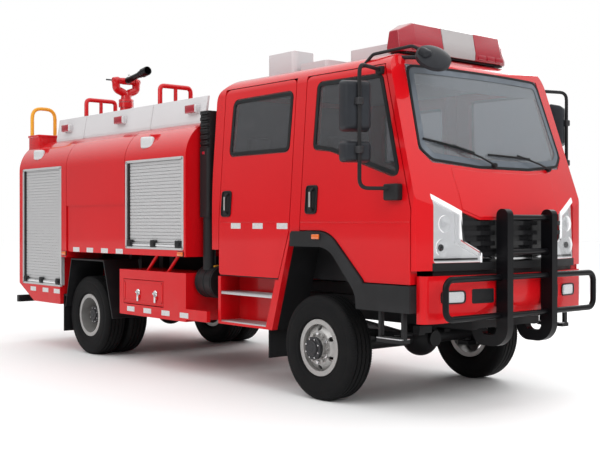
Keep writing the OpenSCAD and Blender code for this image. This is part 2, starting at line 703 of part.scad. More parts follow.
// Black trim round the front arches with the sill under the front doors
sill_z = [780, door_low - door_gap];
module arch_trims() color(black) {
    both_sides() along_y([house_y[1], cab_w / 2 + 18]) intersection() {
        difference() {
            union() {
                arch(arch_trim);
                translate([450, sill_z[0]]) square([door_front_x - 440, sill_z[1] - sill_z[0]]);
            }
            arch(0);
        }
        polygon([[arch_back, 2000], [arch_back, 1200], [0, 900], [400, sill_z[0]], [1400, sill_z[0]],
            [1400, 2000]]);
    }
    // Grab steps under the sills and flaps behind the wheels
    both_sides() {
        for (x = [690, 930]) span([x, x + 25], [cab_w / 2 - 60, cab_w / 2 - 20], [560, sill_z[0]]);
        span([690, 955], [cab_w / 2 - 90, cab_w / 2], [545, 575]);
        span([arch_edge(arch_foot) - pillar_w - 20, arch_edge(arch_foot) - pillar_w - 8], [800, 1030],
            [280, arch_foot]);
    }
}

// Body sections share one outline across the vehicle
module body_outline(low, g = 0) rounded([[g - body_w / 2, low, 0], [body_w / 2 - g, low, 0],
    [body_w / 2 - g, deck_z - g, shoulder_r - g], [g - body_w / 2, deck_z - g, shoulder_r - g]]);
front_shutter = plate([tank_front + 32, body_front - 47], [1200, 2066], 15);
rear_shutter = plate([body_rear + 110, pump_front - 135], [735, 2077], 15);
shutter_y = [body_w / 2 - shutter_in, body_w / 2 + 10];
rear_opening = plate([-600, 420], [900, 2050], 15);
module front_locker() color(red) difference() {
    along_x([tank_front + seam / 2, body_front]) body_outline(body_low);
    both_sides() along_y(shutter_y) rounded(front_shutter);
}
module tank() color(red) difference() {
    along_x([pump_front + seam / 2, tank_front - seam / 2]) body_outline(body_low);
    both_sides() along_y([body_w / 2 - panel_in, body_w / 2 + 10])
        translate([pump_front, body_low - 1]) square([tank_l, lip_z - body_low + 1]);
}
bay_w = 2 * (spring_y[1] + 20);
skirt_cut = 400;
notch = 150;
notch_top = 1060;
module pump_room() color(red) difference() {
    along_x([body_rear, pump_front - seam / 2]) body_outline(skirt_low);
    both_sides() along_y(shutter_y) rounded(rear_shutter);
    span([body_rear - 10, pump_front + 10], [-bay_w / 2, bay_w / 2], [0, frame_top + 110]);
    along_y([-1300, 1300]) polygon([[body_rear - 1, 0], [body_rear + skirt_cut, 0],
        [body_rear + skirt_cut, skirt_low],
        [body_rear - 1, skirt_low + 198]]);
    along_x([body_rear - 10, body_rear + shutter_in]) rounded(rear_opening);
    span([pump_front - notch, pump_front], [-1300, 1300], [0, notch_top]);
}
// Slatted curtains with their bottom bars
module curtain(outline, depth) {
    z = [min([for (p = outline) p[1]]), max([for (p = outline) p[1]])];
    linear_extrude(depth * 0.5) rounded(outline);
    for (s = [z[0] + 60 : slat_pitch : z[1] - 12]) linear_extrude(depth * 0.7) intersection() {
        rounded(outline);
        translate([-8000, s]) square([16000, slat_pitch - 6]);
    }
    linear_extrude(depth) intersection() {
        rounded(outline);
        translate([-8000, z[0]]) square([16000, 48]);
    }
}
module shutters() color(steel) {
    both_sides() translate([0, shutter_in - body_w / 2, 0]) rotate([90, 0, 0]) {
        curtain(front_shutter, shutter_in - 8);
        curtain(rear_shutter, shutter_in - 8);
    }
    translate([body_rear + shutter_in, 0, 0]) rotate([90, 0, -90]) mirror([1, 0, 0])
        curtain(rear_opening, shutter_in - 8);
}
// Fence panels along the deck, with the seams between them
fence_x = [body_rear + 520, pump_front - 20, tank_front + 130, body_front - 10];
module deck_fence() color(white) seat_on_deck() for (k = [0 : 2]) both_sides()
    along_x([fence_x[k] + 4, fence_x[k + 1] - 4]) polygon([[fence_y, deck_z - 60], [fence_y, deck_z],
        [fence_y - fence_lean, deck_z + fence_h], [fence_y - fence_lean - fence_t, deck_z + fence_h],
        [fence_y - fence_t, deck_z - 60]]);
module seat_on_deck() difference() {
    children();
    along_x([body_rear, body_front]) body_outline(1500);
}
rack_x = [-4350, -2760];
rack_y = [-800, -610, -420];
rack_top = 2885;
hoop_y = [-1020, -720];
hoop_top = 2843;
hoop_bend = 75;
module deck_rails() color(red) {
    seat_on_deck() for (x = rack_x) {
        for (y = rack_y) rod([x, y, deck_z - 60], [x, y, rack_top], 18);
        rod([x, rack_y[0] - 30, rack_top - 25], [x, rack_y[2] + 30, rack_top - 25], 16);
    }
    // Corner box and hoop over the ladder at the rear
    seat_on_deck() span([body_rear, body_rear + 280], [-1040, -700], [2200, 2505]);
    translate([body_rear + 60, 0, 0]) {
        for (y = hoop_y) rod([0, y, 2500], [0, y, hoop_top - hoop_bend], 18);
        rod([0, hoop_y[0] + hoop_bend, hoop_top], [0, hoop_y[1] - hoop_bend, hoop_top], 18);
        elbow([0, hoop_y[1] - hoop_bend, hoop_top - hoop_bend], 0, hoop_bend, 18);
        elbow([0, hoop_y[0] + hoop_bend, hoop_top - hoop_bend], 90, hoop_bend, 18);
    }
    // Ladder down the rear wall
    for (y = [-1020, -720]) {
        rod([body_rear - 60, y, 980], [body_rear - 60, y, 2360], 17);
        for (z = [1040, 2300]) rod([body_rear - 60, y, z], [body_rear, y, z], 14);
    }
    for (k = [0 : 4]) rod([body_rear - 60, -1020, 1090 + 280 * k],
        [body_rear - 60, -720, 1090 + 280 * k], 13);
}
strobe_x = [-4556, -3336, -1961];
flood_x = [-2516, -4936];
module body_lamps() color("#c02020") {
    both_sides() for (x = strobe_x) along_x([x - 70, x + 70])
        polygon([for (f = [0.3, 0.7]) [fence_y - fence_lean * f, deck_z + fence_h * f],
            [fence_y + 45, deck_z + fence_h * 0.62], [fence_y + 45, deck_z + fence_h * 0.38]]);
    both_sides() for (x = flood_x) seat_on_deck() span([x - 75, x + 75], [1000, 1130], [2215, 2330]);
    both_sides() span([body_rear - 30, body_rear], [880, 1120], [790, 910]);
}
// Guards round the rear wheels
guard_y = [box_y - 420, box_y];
module rear_guards() color(black) both_sides() {
    along_y(guard_y) polygon([[-4251, 500], [-4109, 1048], [-3375, 1048], [-3179, 442], [-3194, 437],
        [-3386, 1033],
        [-4098, 1033], [-4236, 500]]);
    span([-4290, -4278], guard_y, [220, 640]);
    span([-4290, -4208], guard_y, [620, 640]);
    for (x = [-4050, -3450]) span([x, x + 40], [guard_y[0] - 40, guard_y[0] + 60], [1048, body_low]);
}
// Step boxes with a flap each; the flap hangs on a tube along its lower edge
box_x = [-1800 - box_l, -1800];
box_z = [507, 968];
flap_x = [box_x[0] + 80, box_x[0] + 842];
flap_z = [617, 874];
flap_pin_z = flap_z[0] + flap_pin_r + flap_gap;
module step_boxes() color(red) both_sides() {
    difference() {
        span(box_x, [box_y - box_d, box_y], box_z);
        span([box_x[0] + box_t, box_x[1] - box_t], [box_y - box_d + box_t, box_y - box_t - flap_gap],
            [box_z[0] + box_t, box_z[1] - box_t]);
        span(flap_x, [box_y - box_t - flap_gap - 1, box_y + 1], flap_z);
    }
    span([box_x[1], box_x[1] + 345], [box_y - 40, box_y], [529, 631]);
    for (x = [[flap_x[0] - 1, flap_x[0] + 30], [flap_x[1] - 30, flap_x[1] + 1]])
        translate([x[0], box_y - flap_pin_r, flap_pin_z]) rotate([0, 90, 0])
            cylinder(h = x[1] - x[0], r = 5);
    for (x = [-2571, -2193]) intersection() {
        rod([x - 30, box_y - 60, box_z[1] - 27], [x + 210, box_y - 60, body_low + 32], 16);
        span([x - 100, x + 300], [0, box_y], [box_z[1] - 1, body_low]);
    }
    span([box_x[0] + 200, box_x[0] + 280], [frame_w / 2, box_y - box_d], [700, 760]);
    span([box_x[1] - 280, box_x[1] - 200], [frame_w / 2, box_y - box_d], [700, 760]);
}
module flap_right() color(red) {
    span([flap_x[0] + flap_gap, flap_x[1] - flap_gap], [-box_y, box_t - box_y],
        [flap_pin_z + 6, flap_z[1] - flap_gap]);
    translate([flap_x[0] + flap_gap, flap_pin_r - box_y, flap_pin_z]) rotate([0, 90, 0]) difference() {
        cylinder(h = flap_x[1] - flap_x[0] - 2 * flap_gap, r = flap_pin_r);
        for (z = [-1, flap_x[1] - flap_x[0] - 2 * flap_gap - 29]) translate([0, 0, z])
            cylinder(h = 30, r = 5 + run_gap);
    }
    for (x = [flap_x[0] + 294, flap_x[0] + 619]) span([x - 35, x + 35], [-box_y - 12, -box_y], [690, 715]);
}
module flap_left() mirror([0, 1, 0]) flap_right();

// Water cannon: pedestal, swivelling loop and barrel with its tiller
cannon_x = -4820;
swivel_flange_r = 92;
swivel_flange_h = 60;
module cannon_base() color(red) translate([cannon_x, 0, 0]) {
    translate([0, 0, deck_z]) cylinder(h = 30, r = 190);
    translate([0, 0, deck_z + 30]) cylinder(h = swivel_z - deck_z - 30, r = 75);
    translate([0, 0, swivel_z - swivel_flange_h]) cylinder(h = swivel_flange_h, r = swivel_flange_r);
}
head_gap = 0.5;
loop_half = 190;
loop_thick = 110;
cheek_y = 112;
loop_low = trunnion_z - 195;
loop_high = trunnion_z + 45;
hub_h = trunnion_z - 93;
module cannon_head() color(red) translate([cannon_x, 0, 0]) {
    translate([0, 0, swivel_z + head_gap]) cylinder(h = 36, r = swivel_flange_r - 4);
    translate([0, 0, swivel_z + 30]) cylinder(h = loop_low - swivel_z, r = 66);
    along_x([-loop_thick / 2, loop_thick / 2]) difference() {
        rounded(plate([-loop_half, loop_half], [loop_low, loop_high], 105));
        rounded(plate([-cheek_y, cheek_y], [hub_h, loop_high + 100], 25));
    }
}
barrel_tilt = 8.5;
barrel_r = 36;
muzzle_r = 55;
muzzle_l = 130;
tiller_rise = 17.5;
tiller_l = 380;
module cannon_barrel() color(black) translate([cannon_x, 0, trunnion_z]) rotate([0, -barrel_tilt, 0]) {
    disc_y([1 - cheek_y, cheek_y - 1], barrel_r + 6);
    rotate([0, 90, 0]) cylinder(h = barrel_l, r = barrel_r);
    translate([barrel_l - muzzle_l, 0, 0]) rotate([0, 90, 0]) cylinder(h = muzzle_l, r = muzzle_r);
    rotate([0, tiller_rise - 90, 0]) translate([0, 0, 20]) cylinder(h = tiller_l, r = 10);
}

// Mirrors on the front doors
mirror_post = [760, -1290];
post_z = [1690, 2645];
mirror_arm_r = 12;
module mirrors_right() color(black) difference() {
    union() {
        along_z(post_z) translate(mirror_post) circle(r = 15);
        rod([660, 105 - cab_w / 2, post_z[1] - 20],
            [mirror_post[0], mirror_post[1], post_z[1] - 20], mirror_arm_r);
        rod([865, 60 - cab_w / 2, post_z[0] + 15],
            [mirror_post[0], mirror_post[1], post_z[0] + 15], mirror_arm_r);
        for (z = [[2130, 2520], [1900, 2060]]) along_z(z) rounded(plate([665, 775], [-1410, -1170], 40));
        span([800, 950], [-cab_w / 2 - 45, 60 - cab_w / 2], [1615, 1740]);
    }
    sides_face(0);
}
module mirrors_left() mirror([0, 1, 0]) mirrors_right();

// Wheels: a lathe-turned tyre and a pressed rim; hubs and knuckles in front
bead_y = tyre_w / 2 - 34;
module tyre_shape() difference() {
    rounded([[rim_in, -bead_y, 0], [rim_r - 2, -bead_y, 0], [rim_r + 20, -tyre_w / 2, 30],
        [tyre_r - 25, -tyre_w / 2 + 6, 40], [tyre_r, -tyre_w / 2 + 32, 12], [tyre_r, tyre_w / 2 - 32, 12],
        [tyre_r - 25, tyre_w / 2 - 6, 40], [rim_r + 20, tyre_w / 2, 30], [rim_r - 2, bead_y, 0],
            [rim_in, bead_y, 0]]);
    for (y = [-66, -22, 22, 66]) translate([tyre_r - 12, y - 5]) square([20, 10]);
}
module turned_y(y) translate([0, y, tyre_r]) rotate([90, 0, 0]) rotate_extrude($fn = 96) children();
rim_in = rim_r - 30;
hub_r = 92;
// The rim in section: barrel, flanges and a disc that reaches the hub at disc_y
module rim_shape(disc) {
    polygon([[rim_in - 14, -bead_y - 4], [rim_in, -bead_y - 4], [rim_in, bead_y + 4],
        [rim_in - 14, bead_y + 4]]);
    for (s = [-1, 1]) scale([1, s]) translate([rim_in - 14, bead_y]) square([rim_r - rim_in + 10, 14]);
    scale([1, disc > 0 ? 1 : -1]) let (d = abs(disc)) polygon([[rim_in - 10, d - 60],
        [rim_in - 10, d - 44], [140, d],
        [hub_r - 4, d], [hub_r - 4, d - 14], [136, d - 14]]);
}
module hand_holes(y, count, r) for (k = [0 : count - 1]) translate([0, 0, tyre_r])
    rotate([0, 360 / count * (k + 0.5), 0])
    translate([158, y, 0]) rotate([90, 0, 0]) cylinder(h = 200, r = r, center = true);
front_disc = 100;
stub_r = 38;
run_gap = 0.3;
module rim_front_right() color(steel) {
    wheel_y = -front_track / 2;
    difference() {
        union() {
            turned_y(wheel_y) rim_shape(front_disc);
            disc_y([wheel_y - front_disc - 55, wheel_y + 20], hub_r, [0, tyre_r]);
            for (k = [0 : 5]) rotate_about_hub(60 * k)
                disc_y([wheel_y - front_disc - 22, wheel_y - front_disc + 10], 13,
                    [stud_circle_r + 14, tyre_r]);
        }
        hand_holes(wheel_y - 60, 6, 21);
        disc_y([wheel_y - 60, wheel_y + 30], stub_r + run_gap, [0, tyre_r]);
    }
}
module rotate_about_hub(a) translate([0, 0, tyre_r]) rotate([0, a, 0]) translate([0, 0, -tyre_r])
    children();
module rim_front_left() mirror([0, 1, 0]) rim_front_right();
module tyre_front_right() color(black) turned_y(-front_track / 2) tyre_shape();
module tyre_front_left() mirror([0, 1, 0]) tyre_front_right();
twin_y = rear_track / 2 - twin_pitch / 2;
axle_end = twin_y + 100;
module rim_rear_right() color(steel) translate([rear_x, 0, 0]) difference() {
    union() {
        turned_y(-rear_track / 2) rim_shape(-twin_pitch / 2);
        turned_y(-rear_inner_y) rim_shape(twin_pitch / 2);
        disc_y([-axle_end - 30, 60 - twin_y], hub_r, [0, tyre_r]);
    }
    hand_holes(-rear_track / 2 + 100, 6, 21);
    disc_y([-axle_end - 2, 61 - twin_y], axle_r + run_gap, [0, tyre_r]);
}
module rim_rear_left() mirror([0, 1, 0]) rim_rear_right();
module tyre_rear_right() color(black) translate([rear_x, 0, 0]) for (y = [rear_track / 2, rear_inner_y])
    turned_y(-y) tyre_shape();
module tyre_rear_left() mirror([0, 1, 0]) tyre_rear_right();
// Knuckle: a fork over and under the axle end, its pin and the stub for the hub
module knuckle_right() color("#2c2c2e") {
    y = -king_y;
    for (s = [-1, 1]) span([-60, 60], [y - 60, y + 45],
        [tyre_r + s * (fork_half) - 18, tyre_r + s * fork_half + 18]);
    translate([0, y, tyre_r]) cylinder(h = 2 * fork_half, r = king_r, center = true);
    span([-60, 60], [y - 75, y - 50], [tyre_r - fork_half - 18, tyre_r + fork_half + 18]);
    disc_y([y - pin_inset - 55, y - 70], stub_r, [0, tyre_r]);
}
module knuckle_left() mirror([0, 1, 0]) knuckle_right();

module placed() translate([front_axle_x, 0, 0]) children();
placed() frame();
placed() front_axle();
placed() rear_axle();
placed() leaf_springs();
placed() powertrain();
placed() fuel_tank();
placed() air_intake();
placed() subframe();
placed() cab_floor();
placed() cab_back_wall();
placed() cab_front_panel();
placed() cab_pillars();
placed() cab_roof();
placed() windscreen();
placed() dashboard();
placed() seats();
placed() grille();
placed() headlamps();
placed() bumper();
placed() guard_bar();
placed() light_bar();
placed() roof_unit();
placed() look_down_mirror();
placed() cab_steps();
placed() arch_trims();
placed() front_locker();
placed() tank();
placed() pump_room();
placed() shutters();
placed() deck_fence();
placed() deck_rails();
placed() body_lamps();
placed() rear_guards();
placed() step_boxes();
placed() cannon_base();
placed() cannon_head();
placed() cannon_barrel();
placed() door_front_right();
placed() door_front_left();
placed() door_rear_right();
placed() door_rear_left();
placed() glass_front_right();
placed() glass_front_left();
placed() glass_rear_right();
placed() glass_rear_left();
placed() mirrors_right();
placed() mirrors_left();
placed() flap_right();
placed() flap_left();
placed() knuckle_right();
placed() knuckle_left();
placed() rim_front_right();
placed() rim_front_left();
placed() rim_rear_right();
placed() rim_rear_left();
placed() tyre_front_right();
placed() tyre_front_left();
placed() tyre_rear_right();
placed() tyre_rear_left();
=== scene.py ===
import math
import bpy
from mathutils import Matrix, Vector


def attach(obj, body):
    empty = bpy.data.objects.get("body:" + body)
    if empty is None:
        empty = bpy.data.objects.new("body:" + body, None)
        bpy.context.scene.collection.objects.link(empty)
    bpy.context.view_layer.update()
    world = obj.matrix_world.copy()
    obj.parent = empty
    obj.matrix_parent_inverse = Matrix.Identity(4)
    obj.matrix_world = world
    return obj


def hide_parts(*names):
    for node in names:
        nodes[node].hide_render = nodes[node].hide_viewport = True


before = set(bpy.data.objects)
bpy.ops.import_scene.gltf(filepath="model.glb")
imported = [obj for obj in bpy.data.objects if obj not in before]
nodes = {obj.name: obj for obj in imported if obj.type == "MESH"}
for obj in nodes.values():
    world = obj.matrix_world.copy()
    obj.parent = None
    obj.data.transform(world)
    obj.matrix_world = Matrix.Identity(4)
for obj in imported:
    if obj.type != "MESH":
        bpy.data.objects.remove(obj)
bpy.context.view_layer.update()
frontX = 2.05  # front axle, from the middle of the vehicle
rearX = -1.75
wheelZ = 0.43
print("frame loaded,", len(nodes), "nodes")

# camera
view = {"place": (8.2011, -6.4076, 1.4514), "azimuth": 49.88, "elevation": 0.15, "lens": 60.17, "sensor": 36,
        "far": 200}
bpy.ops.object.select_all(action="DESELECT")
bpy.ops.object.camera_add(location=view["place"],
                          rotation=(math.radians(90 - view["elevation"]), 0, math.radians(view["azimuth"])))
camera = bpy.context.object
camera.data.lens = view["lens"]
camera.data.sensor_width = view["sensor"]
camera.data.clip_end = view["far"]
bpy.context.scene.camera = camera
bpy.context.scene.view_settings.view_transform = "Standard"


# shader helpers
class Wire:  # a shader socket that takes part in sums
    def __init__(self, socket):
        self.socket = socket

    @classmethod
    def add(cls, tree, kind, settings=None, values=None, out=0):
        node = tree.nodes.new("ShaderNode" + kind)
        for key, val in (settings or {}).items():
            setattr(node, key, val)
        for key, val in (values or {}).items():
            if isinstance(val, Wire):
                tree.links.new(val.socket, node.inputs[key])
            else:
                node.inputs[key].default_value = val
        return cls(node.outputs[out])

    def math(self, operation, first, second):
        return Wire.add(self.socket.id_data, "Math", {"operation": operation}, {0: first, 1: second})

    def __add__(self, other):
        return self.math("ADD", self, other)

    def __mul__(self, other):
        return self.math("MULTIPLY", self, other)

    def __rsub__(self, other):
        return self.math("SUBTRACT", other, self)

    def ease(self, low, high):  # 0 below low, 1 above high
        return Wire.add(self.socket.id_data, "MapRange", {"interpolation_type": "SMOOTHSTEP"},
                        {"Value": self, "From Min": low, "From Max": high})


class Finish:  # one material and its shader
    def __init__(self, name, colour, rough, **fixed):
        self.material = bpy.data.materials.new(name)
        self.material.use_nodes = True
        self.tree = self.material.node_tree
        self.shader = self.tree.nodes["Principled BSDF"]
        self.shader.inputs["Base Color"].default_value = (*colour, 1)
        self.shader.inputs["Roughness"].default_value = rough
        for key, val in fixed.items():
            self.shader.inputs[key.replace("_", " ").title().replace("Ior", "IOR")].default_value = val
        self.place = Wire.add(self.tree, "TexCoord", out="Object")

    def feed(self, socket, wire):
        self.tree.links.new(wire.socket, self.shader.inputs[socket])

    def noise(self, scale, detail=3.0, stretch=None):
        place = self.place
        if stretch:
            place = Wire.add(self.tree, "Mapping", {}, {"Vector": place, "Scale": stretch})
        values = {"Vector": place, "Scale": scale, "Detail": detail}
        return Wire.add(self.tree, "TexNoise", {}, values, "Fac")

    def cells(self, scale, feature="F1"):
        values = {"Vector": self.place, "Scale": scale}
        return Wire.add(self.tree, "TexVoronoi", {"feature": feature}, values, "Distance")

    def axis(self, letter):
        return Wire.add(self.tree, "SeparateXYZ", {}, {0: self.place}, letter)

    def tint(self, mask, first, second):
        pair = [v if isinstance(v, Wire) else (*v, 1) for v in (first, second)]
        return Wire.add(self.tree, "Mix", {"data_type": "RGBA"}, {0: mask, 6: pair[0], 7: pair[1]}, 2)

    def bump(self, height, strength, depth=0.002):
        values = {"Height": height, "Strength": strength, "Distance": depth}
        self.feed("Normal", Wire.add(self.tree, "Bump", {}, values))


# light: a white backdrop, a sky that grows brighter upwards, three soft lamps
studio = {
    "horizon": 0.3, "zenith": 1.4, "rise": (0.05, 0.75), "backdrop": 1.0,
    "mirroredBehind": 5,  # lamps ahead of this place are not seen in glossy pieces
    "lamps": [  # place, aim, size, power
        ((10.5, -2.0, 6.0), (2.8, 0, 1.5), 5.0, 340),
        ((1.0, -11.0, 7.0), (-1.0, -1.0, 1.3), 7.0, 320),
        ((-2.0, 9.0, 6.0), (0, 0, 1.2), 6.0, 300),
    ],
}
world = bpy.data.worlds.new("studioSky")
bpy.context.scene.world = world
world.use_nodes = True
sky = world.node_tree
height = Wire.add(sky, "SeparateXYZ", {}, {0: Wire.add(sky, "TexCoord", out="Generated")}, "Z")
glow = height.ease(*studio["rise"]) * (studio["zenith"] - studio["horizon"]) + studio["horizon"]
seen = Wire.add(sky, "LightPath", out="Is Camera Ray")  # the backdrop itself stays white
strength = seen * studio["backdrop"] + (1 - seen) * glow
sky.links.new(strength.socket, sky.nodes["Background"].inputs["Strength"])
sky.nodes["Background"].inputs["Color"].default_value = (1, 1, 1, 1)
for place, aim, size, power in studio["lamps"]:
    bpy.ops.object.light_add(type="AREA", location=place)
    lamp = bpy.context.object
    lamp.data.size = size
    lamp.data.energy = power
    lamp.visible_glossy = place[0] < studio["mirroredBehind"]
    lamp.visible_transmission = False
    lamp.rotation_euler = (Vector(aim) - Vector(place)).to_track_quat("-Z", "Y").to_euler()

# finishes
roadDust = (0.33, 0.29, 0.25)


def paintFinish(name, colour, rough=0.22, dust=0.1, coat=0.7):
    paint = Finish(name, colour, rough, coat_weight=coat, coat_roughness=0.05, specular_ior_level=0.14)
    cloud = paint.noise(1.3, 4)
    low = 1 - paint.axis("Z").ease(0.35, 1.15)  # road film low down
    film = low * paint.noise(5.0, 5).ease(0.35, 0.75) * dust * 3 + cloud.ease(0.45, 0.8) * dust * 0.25
    darker = tuple(c * 0.86 for c in colour)
    paint.feed("Base Color", paint.tint(film, paint.tint(cloud, darker, colour), roadDust))
    paint.feed("Roughness", film * 0.5 + paint.noise(40, 2) * 0.06 + (rough - 0.03))
    paint.feed("Coat Weight", paint.axis("Z").ease(0.7, 2.3) * (coat * 0.85) + coat * 0.15)
    paint.bump(paint.noise(260, 2), 0.03, 0.0006)
    return paint.material


def mouldedFinish(name, colour, rough=0.55, grain=420, strength=0.25):
    plastic = Finish(name, colour, rough, specular_ior_level=0.2)
    wear = plastic.noise(6, 5).ease(0.45, 0.8)
    lighter = tuple(min(1, c * 1.7 + 0.004) for c in colour)
    plastic.feed("Base Color", plastic.tint(wear * 0.55, colour, lighter))
    plastic.feed("Roughness", wear * 0.15 + (rough - 0.05))
    plastic.bump(plastic.cells(grain), strength, 0.0008)
    return plastic.material


def metalFinish(name, colour, rough, brush=(1, 1, 1), scale=60, metallic=1.0):
    metal = Finish(name, colour, rough, metallic=metallic)
    streak = metal.noise(scale, 4, brush)
    darker = tuple(c * 0.8 for c in colour)
    metal.feed("Base Color", metal.tint(streak, darker, colour))
    metal.feed("Roughness", streak * 0.18 + (rough - 0.08))
    metal.bump(streak, 0.06, 0.0006)
    return metal.material


bodyRed = paintFinish("bodyRed", (0.57, 0.004, 0.008), 0.24, 0.018, 0.85)
deckWhite = paintFinish("deckWhite", (0.62, 0.61, 0.62), 0.3, 0.04, 0.3)
hoopYellow = paintFinish("hoopYellow", (0.78, 0.36, 0.03), 0.3, 0.05, 0.4)
chassisBlack = mouldedFinish("chassisBlack", (0.009, 0.009, 0.01), 0.5, 90, 0.08)
guardBlack = paintFinish("guardBlack", (0.004, 0.004, 0.005), 0.3, 0.004, 0.12)
driveGrey = metalFinish("driveGrey", (0.13, 0.13, 0.135), 0.6, scale=30, metallic=0.4)
grilleBlack = paintFinish("grilleBlack", (0.011, 0.011, 0.012), 0.24, 0.004, 0.9)
trimBlack = mouldedFinish("trimBlack", (0.012, 0.012, 0.013), 0.5, 420, 0.15)
mirrorShell = mouldedFinish("mirrorShell", (0.018, 0.02, 0.024), 0.45)
liningGrey = mouldedFinish("liningGrey", (0.3, 0.31, 0.33), 0.7, 300, 0.1)
domeGrey = mouldedFinish("domeGrey", (0.014, 0.015, 0.018), 0.45, 500, 0.05)
borderGrey = mouldedFinish("borderGrey", (0.1, 0.115, 0.135), 0.12, 300, 0.02)
rubberBlack = mouldedFinish("rubberBlack", (0.01, 0.01, 0.011), 0.6, 200, 0.12)
slatMetal = metalFinish("slatMetal", (0.5, 0.5, 0.505), 0.42, (1, 1, 30), 8, 0.15)
brightMetal = metalFinish("brightMetal", (0.8, 0.8, 0.81), 0.22, (1, 1, 1), 40)
wheelSilver = metalFinish("wheelSilver", (0.42, 0.41, 0.4), 0.4, scale=25, metallic=0.6)
hubDark = metalFinish("hubDark", (0.035, 0.035, 0.038), 0.45, scale=35, metallic=0.5)
treadMetal = metalFinish("treadMetal", (0.62, 0.62, 0.63), 0.36, scale=45)


def glassFinish(name, colour, rough=0.02, clear=1.0):
    glass = Finish(name, colour, rough, transmission_weight=clear, ior=1.45)
    glass.feed("Roughness", glass.noise(3, 3).ease(0.4, 0.9) * 0.05 + rough)
    return glass.material


cabGlass = glassFinish("cabGlass", (0.46, 0.47, 0.5), 0.02, 0.93)
screenGlass = glassFinish("screenGlass", (0.6, 0.64, 0.69), 0.02, 0.86)
bandGlass = glassFinish("bandGlass", (0.16, 0.2, 0.23), 0.04, 0.5)
lampClear = glassFinish("lampClear", (0.94, 0.95, 0.96))


# lens finish with ribs; glow is emission: a lamp's own glow on lamp lenses, and painted light on pieces that
# are not lamps
def lensFinish(name, colour, glow=0.0):
    lens = Finish(name, colour, 0.12, coat_weight=0.8, coat_roughness=0.03, ior=1.49,
                  emission_color=(*colour, 1), emission_strength=glow)
    ribs = Wire.add(lens.tree, "TexWave", {"wave_type": "BANDS", "bands_direction": "DIAGONAL"},
                    {"Vector": lens.place, "Scale": 60.0}, "Fac")
    lens.feed("Base Color", lens.tint(ribs, tuple(c * 0.72 for c in colour), colour))
    lens.bump(ribs, 0.1, 0.001)
    return lens.material


signalRed = lensFinish("signalRed", (0.34, 0.006, 0.02), 0.04)
markerAmber = lensFinish("markerAmber", (0.72, 0.14, 0.012), 0.05)
floodWhite = lensFinish("floodWhite", (0.62, 0.62, 0.63))
barSilver = lensFinish("barSilver", (0.42, 0.4, 0.4))
# chrome of the lamp tubs, bowls, trims and fog lamp backs: its glow of 0.3 is painted highlight, since these
# parts are not lamps
lampChrome = lensFinish("lampChrome", (0.78, 0.78, 0.79), 0.3)


def tyreFinish():
    rubber = Finish("tyreRubber", (0.01, 0.01, 0.011), 0.72, specular_ior_level=0.1)
    dust = rubber.noise(9, 5).ease(0.4, 0.85)
    rubber.feed("Base Color", rubber.tint(dust * 0.5, (0.006, 0.006, 0.0065), (0.016, 0.015, 0.0145)))
    rubber.feed("Roughness", dust * 0.15 + 0.62)
    rubber.bump(rubber.noise(140, 3), 0.12, 0.001)
    return rubber.material


def clothFinish():
    cloth = Finish("seatCloth", (0.07, 0.07, 0.075), 0.9, sheen_weight=0.3)
    thread = {"Vector": cloth.place, "Scale": 160.0}
    weave = Wire.add(cloth.tree, "TexWave", {"bands_direction": "X"}, thread, "Fac")
    cross = Wire.add(cloth.tree, "TexWave", {"bands_direction": "Z"}, thread, "Fac")
    cloth.feed("Base Color", cloth.tint(weave * cross, (0.13, 0.135, 0.145), (0.27, 0.28, 0.3)))
    cloth.bump(weave + cross, 0.3, 0.001)
    return cloth.material


def tapeFinish():
    tape = Finish("reflectTape", (0.7, 0.7, 0.71), 0.35, coat_weight=0.5)
    hexes = tape.cells(160, "DISTANCE_TO_EDGE").ease(0.02, 0.12)
    tape.feed("Base Color", tape.tint(hexes, (0.34, 0.34, 0.34), (0.62, 0.61, 0.61)))
    tape.bump(hexes, 0.15, 0.001)
    return tape.material


def mirrorFinish():
    silver = Finish("mirrorSilver", (0.86, 0.87, 0.88), 0.03, metallic=1.0)
    silver.feed("Roughness", silver.noise(7, 4).ease(0.5, 0.9) * 0.06 + 0.02)
    return silver.material


tyreRubber = tyreFinish()
seatCloth = clothFinish()
reflectTape = tapeFinish()
mirrorSilver = mirrorFinish()

# floor
bpy.ops.object.select_all(action="DESELECT")
bpy.ops.mesh.primitive_plane_add(size=120, location=(0, 0, 0))
floor = bpy.context.object
floor.name = "studioFloor"
floorPaint = Finish("paleFloor", (0.86, 0.86, 0.86), 0.65)
floorPaint.feed("Roughness", floorPaint.noise(0.6, 3) * 0.1 + 0.58)
floor.data.materials.append(floorPaint.material)
print("stage and finishes ready")

# finishes of the CAD nodes, whether they show or are replaced
nodeFinish = {  # starts of node names
    "bodyRed": "cab_b cab_front cab_p cab_r cab_s bumper front_locker tank pump_room step_boxes cannon_base "
               "cannon_head flap door deck_rails light_bar",
    "deckWhite": "deck_fence roof_unit", "driveGrey": "powertrain", "domeGrey": "look_down_mirror",
    "chassisBlack": "frame front_axle rear leaf_springs subframe fuel_tank knuckle cab_floor",
    "guardBlack": "guard_bar cannon_barrel", "grilleBlack": "grille", "mirrorShell": "mirrors",
    "trimBlack": "air_intake dashboard arch_trims", "screenGlass": "windscreen", "cabGlass": "glass",
    "seatCloth": "seats", "floodWhite": "headlamps", "signalRed": "body_lamps", "slatMetal": "shutters",
    "wheelSilver": "rim", "tyreRubber": "tyre",
}
for finishName, starts in nodeFinish.items():
    for nodeName, node in nodes.items():
        if nodeName.startswith(tuple(starts.split())):
            node.data.materials.clear()
            node.data.materials.append(bpy.data.materials[finishName])
print("node finishes set")


